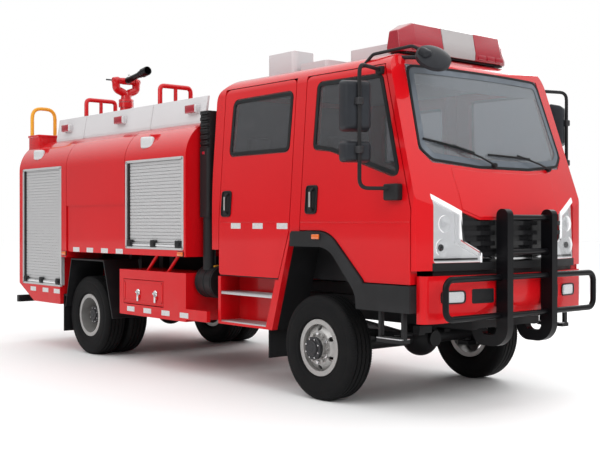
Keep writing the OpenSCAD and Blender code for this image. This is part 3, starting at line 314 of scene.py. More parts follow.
# places: x is counted from the front axle, and the right-hand side is below zero in y
cab = {
    "nose": 1.225, "noseBow": 3.6, "screenBow": 6.0, "rake": 18, "screenFoot": 1.454,
    "skin": -1.045, "belt": 1.45, "leanIn": 0.09, "leanHeight": 1.285,
    "bumperEnd": (1.12, 0.985), "bumperSweep": 0.1832,
}
doorBody = {"Front": "front_door_right", "Rear": "rear_door_right"}


def ax(x):
    return frontX + x


def about(middle, half):
    return middle - half, middle + half


def noseX(y):  # bowed front of the cab
    return ax(cab["nose"] - cab["noseBow"] + math.sqrt(cab["noseBow"] ** 2 - y * y))


def screenX(y, z):  # flatter bow of the raked windscreen
    rake = math.radians(cab["rake"])
    bow = cab["screenBow"] - math.sqrt(cab["screenBow"] ** 2 - y * y)
    return ax(cab["nose"] - bow / math.cos(rake) - math.tan(rake) * (z - cab["screenFoot"]))


def panelX(y, z):  # front panel: nose below, windscreen rake above
    return min(noseX(y), screenX(y, z))


def bumperX(y):  # swept back to its ends
    x, end = cab["bumperEnd"]
    return ax(x + (end - abs(y)) * cab["bumperSweep"])


def sideY(z):  # right-hand skin of the cab, leaning in above the belt
    return cab["skin"] + cab["leanIn"] * max(0, z - cab["belt"]) / cab["leanHeight"]


# modelling helpers
def pick(piece):
    bpy.ops.object.select_all(action="DESELECT")
    piece.select_set(True)
    bpy.context.view_layer.objects.active = piece


def named(name):
    piece = bpy.context.object
    piece.name = name
    piece.data.name = name
    return piece


def settle(piece):  # the object's own frame goes back to the origin
    pick(piece)
    bpy.ops.object.transform_apply(location=True, rotation=True, scale=True)
    return piece


def editAll(piece):
    pick(piece)
    bpy.ops.object.mode_set(mode="EDIT")
    bpy.ops.mesh.select_all(action="SELECT")


def faceOut(piece):
    editAll(piece)
    bpy.ops.mesh.remove_doubles(threshold=0.00002)
    bpy.ops.mesh.normals_make_consistent(inside=False)
    bpy.ops.object.mode_set(mode="OBJECT")
    return piece


def smooth(piece, angle=35):
    pick(piece)
    bpy.ops.object.shade_smooth_by_angle(angle=math.radians(angle))
    return piece


def modify(piece, kind, **settings):
    pick(piece)
    change = piece.modifiers.new(kind, kind)
    for key, val in settings.items():
        setattr(change, key, val)
    bpy.ops.object.modifier_apply(modifier=change.name)
    return piece


def soften(piece, width, segments=2, angle=30):
    limit = math.radians(angle)
    modify(piece, "BEVEL", width=width, segments=segments, limit_method="ANGLE", angle_limit=limit)
    return smooth(piece)


def cubeAt(name, spans):
    bpy.ops.object.select_all(action="DESELECT")
    bpy.ops.mesh.primitive_cube_add(size=1, location=[(a + b) / 2 for a, b in spans],
                                    scale=[b - a for a, b in spans])
    return settle(named(name))


def cubePiece(name, x, y, z, bevel=0.004, segments=2):  # each span is (low, high)
    return soften(cubeAt(name, [(ax(x[0]), ax(x[1])), y, z]), bevel, segments)


def filleted(points, bend, closed=False, steps=5):
    corners = [Vector(p) for p in points]
    path = []
    for k, here in enumerate(corners):
        if not closed and k in (0, len(corners) - 1):
            path.append(here)
            continue
        back = corners[k - 1] - here
        ahead = corners[(k + 1) % len(corners)] - here
        half = back.angle(ahead) / 2
        reach = min(bend / math.tan(half), back.length * 0.48, ahead.length * 0.48)
        first, last = here + back.normalized() * reach, here + ahead.normalized() * reach
        for s in range(steps + 1):
            t = s / steps
            path.append((1 - t) ** 2 * first + 2 * t * (1 - t) * here + t * t * last)
    return path


def boxEdge(a, b):  # four corners of a flat outline
    return [(a[0], b[0]), (a[1], b[0]), (a[1], b[1]), (a[0], b[1])]


def roundedOutline(corners, bend, grow=0.0):
    points = [Vector(c) for c in corners]
    middle = sum(points, Vector((0, 0))) / len(points)
    points = [(p + (p - middle).normalized() * grow).to_3d() for p in points]
    return [(p.x, p.y) for p in filleted(points, bend, True)]


def cutsFrom(first, step, count):  # where a sheet is cut across, so that it can follow a bow
    return [first + step * k for k in range(count)]


def sheetPiece(name, outline, place, cuts=(), rim=0.0):  # a flat sheet, wrapped by place(a, b, layer)
    bpy.ops.object.select_all(action="DESELECT")
    bpy.ops.mesh.primitive_circle_add(vertices=len(outline), fill_type="NGON")
    piece = named(name)
    for vertex, point in zip(piece.data.vertices, outline):
        vertex.co = (0, *point)
    editAll(piece)
    if rim:
        bpy.ops.mesh.inset(thickness=rim, depth=0)
        bpy.ops.mesh.delete(type="FACE")
    for at in cuts:
        bpy.ops.mesh.select_all(action="SELECT")
        bpy.ops.mesh.bisect(plane_co=(0, at, 0), plane_no=(0, 1, 0))
    bpy.ops.mesh.select_all(action="SELECT")
    bpy.ops.mesh.extrude_region_move(TRANSFORM_OT_translate={"value": (1, 0, 0)})
    bpy.ops.object.mode_set(mode="OBJECT")
    for vertex in piece.data.vertices:
        layer, a, b = vertex.co
        vertex.co = place(a, b, layer)
    return smooth(faceOut(piece), 25)


def frontPart(name, outline, surface, back, front, cuts=(), rim=0.0):  # behind the cab's front surface
    def place(a, b, layer):
        return surface(a, b) - back + (back - front) * layer, a, b
    return sheetPiece(name, outline, place, cuts, rim)


def sidePart(name, outline, inner, depth, rim=0.0, skin=sideY):  # from inside the skin outwards
    def place(a, b, layer):
        return ax(a), skin(b) + inner - depth * layer, b
    return sheetPiece(name, outline, place, rim=rim)


def tubePiece(name, points, radius, sides=3):
    bpy.ops.object.select_all(action="DESELECT")
    bpy.ops.curve.primitive_nurbs_path_add()
    line = bpy.context.object.data
    line.splines.clear()
    spline = line.splines.new("POLY")
    spline.points.add(len(points) - 1)
    for knot, point in zip(spline.points, points):
        knot.co = (*point, 1)
    line.bevel_depth = radius
    line.bevel_resolution = sides
    line.use_fill_caps = True
    bpy.ops.object.convert(target="MESH")
    return smooth(faceOut(settle(named(name))), 50)


def spunPiece(name, profile, centre, axis, steps=48, closed=True):  # profile of (radius, place)
    middle = Vector(centre)
    along = Vector([float(axis == letter) for letter in "XYZ"])
    out = Vector((1, 0, 0)) if axis == "Z" else Vector((0, 0, 1))
    bpy.ops.object.select_all(action="DESELECT")
    bpy.ops.mesh.primitive_circle_add(vertices=len(profile))
    piece = named(name)
    for vertex, (radius, reach) in zip(piece.data.vertices, profile):
        vertex.co = middle + out * radius + along * reach
    bpy.ops.object.mode_set(mode="EDIT")
    bpy.ops.mesh.select_mode(type="EDGE")
    if not closed:
        bpy.ops.mesh.select_all(action="DESELECT")
        bpy.ops.object.mode_set(mode="OBJECT")
        for edge in piece.data.edges:
            edge.select = set(edge.vertices) == {0, len(profile) - 1}
        bpy.ops.object.mode_set(mode="EDIT")
        bpy.ops.mesh.delete(type="EDGE")
    bpy.ops.mesh.select_mode(type="VERT")
    bpy.ops.mesh.select_all(action="SELECT")
    bpy.ops.mesh.spin(steps=steps, angle=2 * math.pi, center=middle, axis=along)
    bpy.ops.object.mode_set(mode="OBJECT")
    return smooth(faceOut(piece))


def turned(piece, angle, axis, centre):
    middle = Vector(centre)
    piece.matrix_world = (Matrix.Translation(middle) @ Matrix.Rotation(math.radians(angle), 4, axis)
                          @ Matrix.Translation(-middle) @ piece.matrix_world)
    return settle(piece)


def copied(piece, name, shift=(0, 0, 0), flip=False):
    pick(piece)
    bpy.ops.object.duplicate()
    other = named(name)
    other.location = shift
    if flip:
        other.scale = (1, -1, 1)
    settle(other)
    return faceOut(other) if flip else other


def joined(name, pieces):
    pick(pieces[0])
    for piece in pieces:
        piece.select_set(True)
    bpy.ops.object.join()
    return named(name)


def rowOf(name, first, shifts):  # one piece and its shifted copies as one mesh
    others = [copied(first, name + str(k), shift) for k, shift in enumerate(shifts)]
    return joined(name, [first] + others)


def boltRing(name, seat, axis, circle, count, size, length, bevel):  # hexagons on a ring, copies of one
    x, y, z = seat
    place, lie = (x + circle, y, z + length / 2), 0
    if axis == "Y":
        place, lie = (x + circle, y - length / 2, z), math.pi / 2
    bpy.ops.object.select_all(action="DESELECT")
    bpy.ops.mesh.primitive_cylinder_add(vertices=6, radius=size, depth=length, location=place,
                                        rotation=(lie, 0, 0))
    first = turned(soften(settle(named(name)), bevel), 180 / count, axis, seat)
    others = [turned(copied(first, name + str(k)), 360 * k / count, axis, seat) for k in range(1, count)]
    return joined(name, [first] + others)


def dress(piece, finish, slot, body="chassis", hides=()):
    piece.data.materials.clear()
    piece.data.materials.append(finish)
    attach(piece, body)
    if hides:
        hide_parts(*hides)
    return piece


def dressPair(piece, finish, slot, body="chassis", hides=()):  # the right-hand piece and its mirror copy
    name = piece.name
    other = copied(piece, name + "Left", flip=True)
    piece.name = piece.data.name = name + "Right"
    dress(piece, finish, slot, body, hides)
    dress(other, finish, slot, body.replace("right", "left"), [n.replace("right", "left") for n in hides])


def dressCopies(pattern, name, shifts, finish, slot, hides=()):  # pairs copied from a pattern that then goes
    for k, shift in enumerate(shifts):
        dressPair(copied(pattern, name + str(k), shift), finish, slot, hides=hides if k == 0 else ())
    pick(pattern)
    bpy.ops.object.delete()


# tyres: ribbed tread, notched shoulders, ringed side walls
toRear = rearX - frontX
tyre = {
    "steps": 240, "right": -0.925,
    "notch": 0.005, "notchFrom": (0.405, 0.085),  # radius and distance from the middle plane
    "wave": 0.0022, "waveFrom": 0.415, "waveBetween": (0.01, 0.075),
    "half": [
        (0.206, 0.086), (0.234, 0.088), (0.241, 0.099), (0.25, 0.112), (0.262, 0.1165), (0.268, 0.115),
        (0.272, 0.1172), (0.3, 0.1198), (0.335, 0.1198), (0.36, 0.1185), (0.364, 0.1168), (0.369, 0.1178),
        (0.395, 0.115), (0.41, 0.109), (0.421, 0.099), (0.428, 0.0905), (0.4292, 0.08), (0.4294, 0.0715),
        (0.42, 0.0695), (0.42, 0.0625), (0.4297, 0.0605), (0.43, 0.044), (0.43, 0.0275),
        (0.42, 0.0255), (0.42, 0.0185), (0.43, 0.0165), (0.43, 0.0000)],
    "copies": [  # name, shift along and across, body, node that it stands for
        ("tyreFrontLeft", 0, 1.85, "front_wheel_left", ["tyre_front_left"]),
        ("tyreRearRightOuter", toRear, -0.03, "rear_wheels_right", ["tyre_rear_right"]),
        ("tyreRearRightInner", toRear, 0.245, "rear_wheels_right", []),
        ("tyreRearLeftOuter", toRear, 1.88, "rear_wheels_left", ["tyre_rear_left"]),
        ("tyreRearLeftInner", toRear, 1.605, "rear_wheels_left", [])],
}


def buildTyre(name, x, y):
    profile = tyre["half"] + [(r, -a) for r, a in reversed(tyre["half"][:-1])]
    piece = spunPiece(name, profile, (x, y, wheelZ), "Y", tyre["steps"])
    notchR, notchY = tyre["notchFrom"]
    waveLow, waveHigh = tyre["waveBetween"]
    for vertex in piece.data.vertices:
        out = Vector((vertex.co.x - x, 0, vertex.co.z - wheelZ))
        step = round((math.atan2(out.z, out.x) / (2 * math.pi)) * tyre["steps"]) % tyre["steps"]
        across = abs(vertex.co.y - y)
        if out.length > notchR and across > notchY and step % 2:
            vertex.co -= out.normalized() * tyre["notch"]
        elif out.length > tyre["waveFrom"] and waveLow < across < waveHigh:
            vertex.co.y += tyre["wave"] * (1, 0, -1, 0)[step % 4]
    return smooth(piece, 30)


firstTyre = buildTyre("tyreFrontRight", frontX, tyre["right"])
for tyreName, shiftX, shiftY, wheelBody, hides in tyre["copies"]:
    dress(copied(firstTyre, tyreName, (shiftX, shiftY, 0)), tyreRubber, "tyre_rubber", wheelBody, hides)
dress(firstTyre, tyreRubber, "tyre_rubber", "front_wheel_right", ["tyre_front_right"])
print("tyres done")

# wheel nuts, hub caps and valve stems
hub = {
    "nuts": {"circle": 0.116, "count": 6, "size": 0.017, "length": 0.017, "bevel": 0.00238},
    "bolts": {"circle": 0.079, "count": 8, "size": 0.0075, "length": 0.009, "bevel": 0.00105},
    "boltReach": 0.011,
    "cap": [(0.0, -0.036), (0.026, -0.036), (0.03, -0.032), (0.054, -0.03), (0.06, -0.025), (0.062, -0.014),
            (0.072, -0.012), (0.088, -0.012), (0.093, -0.008)],
    "stem": [(0.15, 0.012, 0.09), (0.165, -0.012, 0.1), (0.18, -0.022, 0.11)], "stemRadius": 0.004,
    "wheels": [  # name, axle, face of the disc, end of the hub, skirt of the cap, body
        ("Front", frontX, -1.025, -1.0805, (0.093, 0.02), "front_wheel_right"),
        ("Rear", rearX, -0.8175, -0.988, (0.093, 0.07), "rear_wheels_right")],
}
for wheel, x, disc, end, skirt, body in hub["wheels"]:
    nuts = boltRing("nuts" + wheel, (x, disc, wheelZ), "Y", **hub["nuts"])
    dressPair(nuts, brightMetal, "wheel_steel", body)
    cap = spunPiece("hubCap" + wheel, hub["cap"] + [skirt], (x, end, wheelZ), "Y", closed=False)
    dressPair(cap, hubDark, "wheel_steel", body)
    bolts = boltRing("hubBolts" + wheel, (x, end - hub["boltReach"], wheelZ), "Y", **hub["bolts"])
    dressPair(bolts, brightMetal, "wheel_steel", body)
    stem = [(x + a, disc + b, wheelZ + c) for a, b, c in hub["stem"]]
    dressPair(tubePiece("valve" + wheel, stem, hub["stemRadius"]), brightMetal, "wheel_steel", body)
print("wheels done")

# seats: padded cushions, backs and head rests
seat = {
    "cushion": {"x": (-0.47, 0), "z": (0, 0.14)},
    "back": {"x": (-0.56, -0.42), "z": (0.1, 0.7)}, "backInset": 0.01,
    "head": {"x": (-0.645, -0.555), "z": (0.745, 0.92)}, "headHalf": 0.12,
    "posts": {"x": (-0.59, -0.6), "z": (0.66, 0.78)}, "postHalf": 0.06, "postRadius": 0.007,
    "corner": 0.32, "faceFrom": 0.3, "seamAt": 0.62, "seamWidth": 0.07, "seamDepth": 0.008,
    "places": [  # name, front edge, underside, sides
        ("seatFrontRight", 0.38, 1.267, (-0.855, -0.335)), ("seatFrontLeft", 0.38, 1.267, (0.335, 0.855)),
        ("seatRear0", -0.76, 1.33, (-0.855, -0.29)), ("seatRear1", -0.76, 1.33, (-0.283, 0.283)),
        ("seatRear2", -0.76, 1.33, (0.29, 0.855))],
}


def padPiece(name, spans, crown, facing, lean=0.0):
    piece = cubeAt(name, spans)
    corner = min(b - a for a, b in spans) * seat["corner"]
    modify(piece, "BEVEL", width=corner, segments=3, limit_method="ANGLE")
    editAll(piece)
    bpy.ops.mesh.subdivide(number_cuts=3)
    bpy.ops.object.mode_set(mode="OBJECT")
    for vertex in piece.data.vertices:
        u, v, w = [2 * (c - (a + b) / 2) / (b - a) for c, (a, b) in zip(vertex.co, spans)]
        puff = crown * max(0, 1 - v * v)
        seam = math.exp(-((abs(v) - seat["seamAt"]) / seat["seamWidth"]) ** 2) * seat["seamDepth"]
        if facing == "Z":
            vertex.co.z += (puff * max(0, 1 - u * u) - seam) * (w > seat["faceFrom"])
        else:
            rise = vertex.co.z - spans[2][0]
            vertex.co.x += (puff * max(0, 1 - w * w) - seam) * (u > seat["faceFrom"]) - lean * rise
    modify(piece, "SUBSURF", levels=1)
    smooth(piece, 60)
    return piece


def buildSeat(name, x, z, y, hides):
    def spans(part, sides):
        return [tuple(ax(x + a) for a in seat[part]["x"]), sides, tuple(z + c for c in seat[part]["z"])]

    middle = sum(y) / 2
    cushion = padPiece(name + "Cushion", spans("cushion", y), 0.028, "Z")
    dress(cushion, seatCloth, "seat_cloth", hides=hides)
    sides = (y[0] + seat["backInset"], y[1] - seat["backInset"])
    dress(padPiece(name + "Back", spans("back", sides), 0.022, "X", 0.15), seatCloth, "seat_cloth")
    head = padPiece(name + "Head", spans("head", about(middle, seat["headHalf"])), 0.012, "X", 0.05)
    dress(head, seatCloth, "seat_cloth")
    lowX, highX = seat["posts"]["x"]
    lowZ, highZ = seat["posts"]["z"]
    postY = middle - seat["postHalf"]
    post = tubePiece(name + "Posts", [(ax(x + lowX), postY, z + lowZ), (ax(x + highX), postY, z + highZ)],
                     seat["postRadius"])
    dress(rowOf(name + "Posts", post, [(0, 2 * seat["postHalf"], 0)]), brightMetal, "drive_metal")


for k, (name, x, z, y) in enumerate(seat["places"]):
    buildSeat(name, x, z, y, ["seats"] if k == 0 else [])
print("seats done")

# windows: black seals on the doors, a printed border and a tinted band on the screen
window = {  # corners and their bend
    "Front": ([(-0.084, 2.064), (0.13, 2.038), (0.908, 1.79), (0.664, 2.584), (-0.068, 2.592)], 0.05),
    "Rear": ([(-1.25, 2.062), (-0.418, 2.064), (-0.4, 2.556), (-1.225, 2.55)], 0.06),
}
for doorName, (corners, bend) in window.items():
    seal = sidePart("windowSeal" + doorName, roundedOutline(corners, bend, grow=0.012),
                    inner=0.01, depth=0.013, rim=0.03)
    dressPair(soften(seal, 0.003), rubberBlack, "black_plastic", doorBody[doorName])

screen = {
    "edge": [(-0.77, 1.92), (-0.3, 1.88), (0.3, 1.88), (0.77, 1.92), (0.874, 2.01), (0.806, 2.668),
             (-0.806, 2.668), (-0.874, 2.01)],
    "bend": 0.1, "cuts": cutsFrom(-0.8, 0.1, 17),
    "band": [(-0.77, 2.665), (-0.785, 2.52), (-0.4, 2.5), (0.0, 2.492), (0.4, 2.5), (0.785, 2.52),
             (0.77, 2.665)],
}
border = frontPart("screenBorder", roundedOutline(screen["edge"], screen["bend"]), screenX,
                   back=0.006, front=0.0015, cuts=screen["cuts"], rim=0.06)
dress(border, borderGrey, "black_plastic")
seal = frontPart("screenSeal", roundedOutline(screen["edge"], screen["bend"], grow=0.01), screenX,
                 back=0.004, front=-0.003, cuts=screen["cuts"], rim=0.018)
dress(seal, rubberBlack, "black_plastic")
band = frontPart("screenBand", screen["band"], screenX, back=0.022, front=0.02, cuts=screen["cuts"])
dress(band, bandGlass, "clear_glass")

# wipers
wiper = {
    "arm": 0.0075, "rubber": 0.009, "spine": 0.006, "steps": 12,  # radii, points along a blade
    "pivot": [(0.0, 0.04), (0.016, 0.038), (0.02, 0.03), (0.02, -0.012)],
    "armLift": (0.03, 0.046, 0.026), "elbow": 0.4, "bladeLift": 0.011, "spineLift": (0.012, 0.008),
    "pair": [  # pivot (y, z), arm end, blade ends
        ((0.6, 1.893), (0.18, 1.992), (0.36, 1.972), (-0.17, 1.985)),
        ((-0.139, 1.9), (-0.56, 2.045), (-0.33, 1.995), (-0.825, 2.085))],
}


def onScreen(point, lift):
    return Vector((screenX(*point) - 0.004 + lift, *point))


def between(first, last, share):
    return tuple(a * (1 - share) + b * share for a, b in zip(first, last))


wiperParts = []
for k, (pivot, tip, bladeA, bladeB) in enumerate(wiper["pair"]):
    steps = wiper["steps"]
    elbow = between(pivot, tip, wiper["elbow"])
    arm = [onScreen(*spot) for spot in zip((pivot, elbow, tip), wiper["armLift"])]
    blade = [onScreen(between(bladeA, bladeB, s / steps), wiper["bladeLift"]) for s in range(steps + 1)]
    flat, bow = wiper["spineLift"]
    spine = [p + Vector((flat + bow * math.sin(math.pi * s / steps), 0, 0)) for s, p in enumerate(blade)]
    wiperParts += [spunPiece("wiperPivot" + str(k), wiper["pivot"], onScreen(pivot, 0), "X", 24, False),
                   tubePiece("wiperArm" + str(k), filleted(arm, 0.1), wiper["arm"]),
                   tubePiece("wiperRubber" + str(k), blade, wiper["rubber"]),
                   tubePiece("wiperSpine" + str(k), spine[2:-2], wiper["spine"])]
dress(joined("wipers", wiperParts), rubberBlack, "black_plastic")
print("windows done")

# door handles: a moulded pocket with a grip across it; a bead along each door
handle = {
    "half": (0.072, 0.118), "bend": 0.035, "gripX": 0.02, "gripRadius": 0.012,
    "grip": [(-0.09, 0.004), (-0.07, 0.03), (0.07, 0.03), (0.09, 0.004)],  # height, reach
    "stripHalf": (0.01, 0.0025, 0.062), "stripReach": 0.043,
    "places": [("Front", -0.08, 1.638), ("Rear", -1.263, 1.62)],
}
for doorName, x, z in handle["places"]:
    body = doorBody[doorName]
    halfX, halfZ = handle["half"]
    edge = roundedOutline(boxEdge(about(x, halfX), about(z, halfZ)), handle["bend"])
    pocket = sidePart("handlePocket" + doorName, edge, inner=0.004, depth=0.007)
    dressPair(soften(pocket, 0.003), trimBlack, "black_plastic", body)
    surround = sidePart("handleFrame" + doorName, edge, inner=0.002, depth=0.014, rim=0.01)
    dressPair(soften(surround, 0.003), trimBlack, "black_plastic", body)
    gripX = x + handle["gripX"]
    path = filleted([(ax(gripX), sideY(z + up) - reach, z + up) for up, reach in handle["grip"]], 0.02)
    grip = tubePiece("handleGrip" + doorName, path, handle["gripRadius"])
    dressPair(grip, trimBlack, "black_plastic", body)
    halfX, halfY, halfZ = handle["stripHalf"]
    strip = cubePiece("handleStrip" + doorName, about(gripX, halfX),
                      about(sideY(z) - handle["stripReach"], halfY), about(z, halfZ), bevel=0.002)
    dressPair(strip, wheelSilver, "drive_metal", body)
bead = {"z": (1.448, 1.458), "x": {"Front": (-0.205, 1.03), "Rear": (-1.358, -0.364)}}
for doorName, span in bead["x"].items():
    line = sidePart("doorBead" + doorName, boxEdge(span, bead["z"]), inner=0.004, depth=0.007)
    dressPair(soften(line, 0.0025), bodyRed, "body_red", doorBody[doorName])
print("handles done")

# headlamps: tub, bowls and trim of chrome under a clear lens; the chrome's glow is painted highlight
headlamp = {
    "cuts": cutsFrom(-0.85, 0.05, 9),
    "edge": [(-0.43, 1.15), (-0.43, 1.215), (-0.622, 1.31), (-0.622, 1.535), (-0.875, 1.658), (-0.875, 1.15)],
    "inner": [(-0.436, 1.156), (-0.436, 1.212), (-0.629, 1.308), (-0.629, 1.531), (-0.869, 1.648),
              (-0.869, 1.156)],
    "band": [(-0.64, 1.53), (-0.64, 1.318), (-0.45, 1.222), (-0.45, 1.196), (-0.666, 1.296), (-0.666, 1.542)],
    "brow": [(-0.672, 1.548), (-0.672, 1.52), (-0.862, 1.606), (-0.862, 1.64)],
    "shelf": [(-0.45, 1.182), (-0.86, 1.182), (-0.86, 1.166), (-0.45, 1.166)],
    "trim": [(-0.882, 1.664), (-0.617, 1.537), (-0.617, 1.312), (-0.424, 1.217), (-0.424, 1.146),
             (-0.442, 1.146), (-0.442, 1.232), (-0.64, 1.328), (-0.64, 1.505), (-0.882, 1.622)],
    "parts": [  # name, outline, back, front, rim, finish
        ("lampTub", "inner", 0.042, 0.036, 0, lampChrome),
        ("lampWall", "edge", 0.056, 0.006, 0.009, lampChrome),
        ("lampLens", "inner", 0.007, 0.003, 0, lampClear), ("lampBand", "band", 0.03, 0.012, 0, lampChrome),
        ("lampBrow", "brow", 0.03, 0.012, 0, lampChrome), ("lampShelf", "shelf", 0.034, 0.016, 0, trimBlack)],
    "bowls": [(-0.765, 1.44, 0.062, lampClear), (-0.785, 1.262, 0.066, hubDark)],  # y, z, radius, bulb
    "bowlSink": 0.036,
    "bowl": [(0.2, 0.0), (0.55, 0.004), (0.82, 0.011), (1, 0.022), (1.07, 0.022), (1.07, 0.018), (0.9, 0.003),
             (0.2, -0.004)],  # shares of the radius
    "bulb": [(0.0, 0.021), (0.22, 0.019), (0.36, 0.013), (0.4, 0.006), (0.4, 0.0)],
}
for name, outline, back, front, rim, finish in headlamp["parts"]:
    part = frontPart(name, headlamp[outline], panelX, back, front, headlamp["cuts"], rim)
    dressPair(part, finish, "lamp_lens", hides=["headlamps"] if name == "lampTub" else ())
for k, (y, z, radius, bulbFinish) in enumerate(headlamp["bowls"]):
    centre = (panelX(y, z) - headlamp["bowlSink"], y, z)
    bowlForm, bulbForm = [[(radius * r, a) for r, a in headlamp[form]] for form in ("bowl", "bulb")]
    dressPair(spunPiece("lampBowl" + str(k), bowlForm, centre, "X", 40), lampChrome, "lamp_lens")
    dressPair(spunPiece("lampBulb" + str(k), bulbForm, centre, "X", 32, False), bulbFinish, "lamp_lens")
trim = frontPart("lampTrim", headlamp["trim"], panelX, back=0.01, front=-0.006, cuts=headlamp["cuts"])
dressPair(soften(trim, 0.003), lampChrome, "lamp_lens")

# front panel: a black strip under the lamps, raised hood, grille lip, and a black sheet set back above the
# bumper; the strip and the sheet are dark pieces of painted shade for the shaded gap between the lamps and
# the bumper
hoodEdge = [(-0.615, 1.868), (-0.3, 1.846), (0.3, 1.846), (0.615, 1.868), (0.6, 1.64), (0.608, 1.548),
            (0.44, 1.486), (-0.44, 1.486), (-0.608, 1.548), (-0.6, 1.64)]
lipEdge = [(-0.405, 1.176), (-0.1, 1.162), (0.1, 1.162), (0.405, 1.176), (0.412, 1.19), (0.1, 1.176),
           (-0.1, 1.176), (-0.412, 1.19)]
# black strip along the panel's foot: painted shade, a dark piece standing in for the shaded gap under the
# lamps
shadeStrip = frontPart("panelSill", boxEdge((-0.884, 0.884), (1.088, 1.149)), panelX,
                 back=0.01, front=-0.004, cuts=cutsFrom(-0.85, 0.1, 18))
dress(soften(shadeStrip, 0.003), trimBlack, "black_plastic")
hood = frontPart("nosePanel", hoodEdge, panelX, back=0.004, front=-0.008, cuts=cutsFrom(-0.55, 0.1, 12))
dress(soften(hood, 0.006, 3, 40), bodyRed, "body_red")
lip = frontPart("grilleLip", lipEdge, panelX, back=0.012, front=0, cuts=cutsFrom(-0.35, 0.1, 8))
dress(lip, brightMetal, "drive_metal")
# black sheet set back in the gap above the bumper: painted shade, a dark sheet where there is only shade
gap = frontPart("panelBand", boxEdge((-0.86, 0.86), (1.05, 1.1)), lambda y, z: noseX(y),
                back=0.034, front=0.022, cuts=cutsFrom(-0.8, 0.1, 17))
dress(gap, trimBlack, "black_plastic")

# bumper: fog lamps and dark pads
fog = {"edge": boxEdge((-0.832, -0.604), (0.843, 0.941)), "bend": 0.036, "cuts": cutsFrom(-0.78, 0.04, 5)}
pad = {"edge": boxEdge((-0.54, -0.33), (0.838, 0.948)), "bend": 0.015, "cuts": cutsFrom(-0.51, 0.03, 6)}
bumperParts = [  # name, form, back, front, rim, finish, slot
    ("fogBezel", fog, 0.04, -0.01, 0.009, trimBlack, "black_plastic"),
    ("fogBack", fog, 0.03, -0.001, 0, lampChrome, "lamp_lens"),
    ("fogLens", fog, -0.003, -0.006, 0, lampClear, "lamp_lens"),
    ("bumperPad", pad, 0.03, 0.006, 0, trimBlack, "black_plastic"),
    ("bumperPadRim", pad, 0.03, -0.002, 0.012, trimBlack, "black_plastic"),
]
for name, form, back, front, rim, finish, slot in bumperParts:
    edge = roundedOutline(form["edge"], form["bend"])
    part = frontPart(name, edge, lambda y, z: bumperX(y), back, front, form["cuts"], rim)
    dressPair(part, finish, slot)
print("lamps done")

# light bar: faceted lens blocks over a dark tray, lamp modules along the front
bar = {
    "middle": 0.4875, "floor": 2.818, "silver": 0.2, "gap": 0.004, "end": 0.66,
    "shoulder": 0.13, "taper": (0.55, 0.72),  # how far in the ends begin to narrow, and to what share
    "section": [(0.362, 2.818), (0.613, 2.818), (0.619, 2.88), (0.606, 2.945), (0.586, 3.046), (0.56, 3.055),
                (0.42, 3.055), (0.402, 3.048), (0.356, 2.88)],
    "moduleStep": 0.115,
}


def barBlock(name, start, stop, narrow):
    block = sheetPiece(name, bar["section"], lambda a, b, layer: (ax(a), start + (stop - start) * layer, b))
    if narrow:
        middle, floorZ = ax(bar["middle"]), bar["floor"]
        editAll(block)
        bpy.ops.mesh.bisect(plane_co=(0, stop + bar["shoulder"], 0), plane_no=(0, 1, 0))
        bpy.ops.object.mode_set(mode="OBJECT")
        for vertex in block.data.vertices:
            if abs(vertex.co.y - stop) < 0.001:
                vertex.co.x = middle + (vertex.co.x - middle) * bar["taper"][0]
                vertex.co.z = floorZ + (vertex.co.z - floorZ) * bar["taper"][1]
    return soften(block, 0.006, 2, 20)


dressPair(barBlock("barLens", -bar["silver"] - bar["gap"], -bar["end"], True), signalRed, "signal_lens")
centre = barBlock("barCentre", -bar["silver"], bar["silver"], False)
dress(centre, barSilver, "signal_lens", hides=["light_bar"])
module = cubePiece("barModules", x=(0.602, 0.6225), y=(-0.56, -0.466), z=(2.83, 2.874), bevel=0.005)
modules = rowOf("barModules", module, [(0, bar["moduleStep"] * k, 0) for k in (1, 2)])
dressPair(modules, signalRed, "signal_lens")
print("light bar done")

# door mirrors: shells with a glass each on a bent tube; the look-down mirror's arm
mirror = {
    "post": (0.76, -1.29), "turn": -25, "shellX": (0.612, 0.742), "shellY": (-1.41, -1.17),
    "narrow": (0.22, 0.14),  # shares lost in width and height
    "shells": [("Main", (2.13, 2.52)), ("Wide", (1.9, 2.06))],
    "glassX": 0.6075, "glassInset": 0.015, "glassBend": 0.025,
    "tube": [(0.87, -1.055, 1.705), (0.76, -1.29, 1.705), (0.76, -1.29, 2.625), (0.66, -0.985, 2.625)],
    "arm": [(0.44, -0.925, 2.7), (0.52, -0.915, 2.765), (0.84, -0.815, 2.8), (0.985, -0.752, 2.725)],
}
postX, postY = mirror["post"]
onPost = (ax(postX), postY, 0)
tube = tubePiece("mirrorTube", filleted([(ax(x), y, z) for x, y, z in mirror["tube"]], 0.07), 0.015)
dressPair(tube, trimBlack, "black_plastic", "front_door_right", ["mirrors_right"])


def mirrorCase(name, z):  # a rounded box that narrows forwards
    x, y = mirror["shellX"], mirror["shellY"]
    case = cubePiece(name, x, y, z, bevel=0.03, segments=4)
    middleY, middleZ = sum(y) / 2, sum(z) / 2
    narrowY, narrowZ = mirror["narrow"]
    for vertex in case.data.vertices:
        share = (vertex.co.x - ax(x[0])) / (x[1] - x[0])
        vertex.co.y = middleY + (vertex.co.y - middleY) * (1 - narrowY * share * share)
        vertex.co.z = middleZ + (vertex.co.z - middleZ) * (1 - narrowZ * share * share)
    return turned(smooth(case, 50), mirror["turn"], "Z", onPost)


def mirrorGlass(name, z):
    inset, x = mirror["glassInset"], ax(mirror["glassX"])
    sides = [(low + inset, high - inset) for low, high in (mirror["shellY"], z)]
    edge = roundedOutline(boxEdge(*sides), mirror["glassBend"])
    glass = sheetPiece(name, edge, lambda a, b, layer: (x + 0.006 * layer, a, b))
    return turned(glass, mirror["turn"], "Z", onPost)


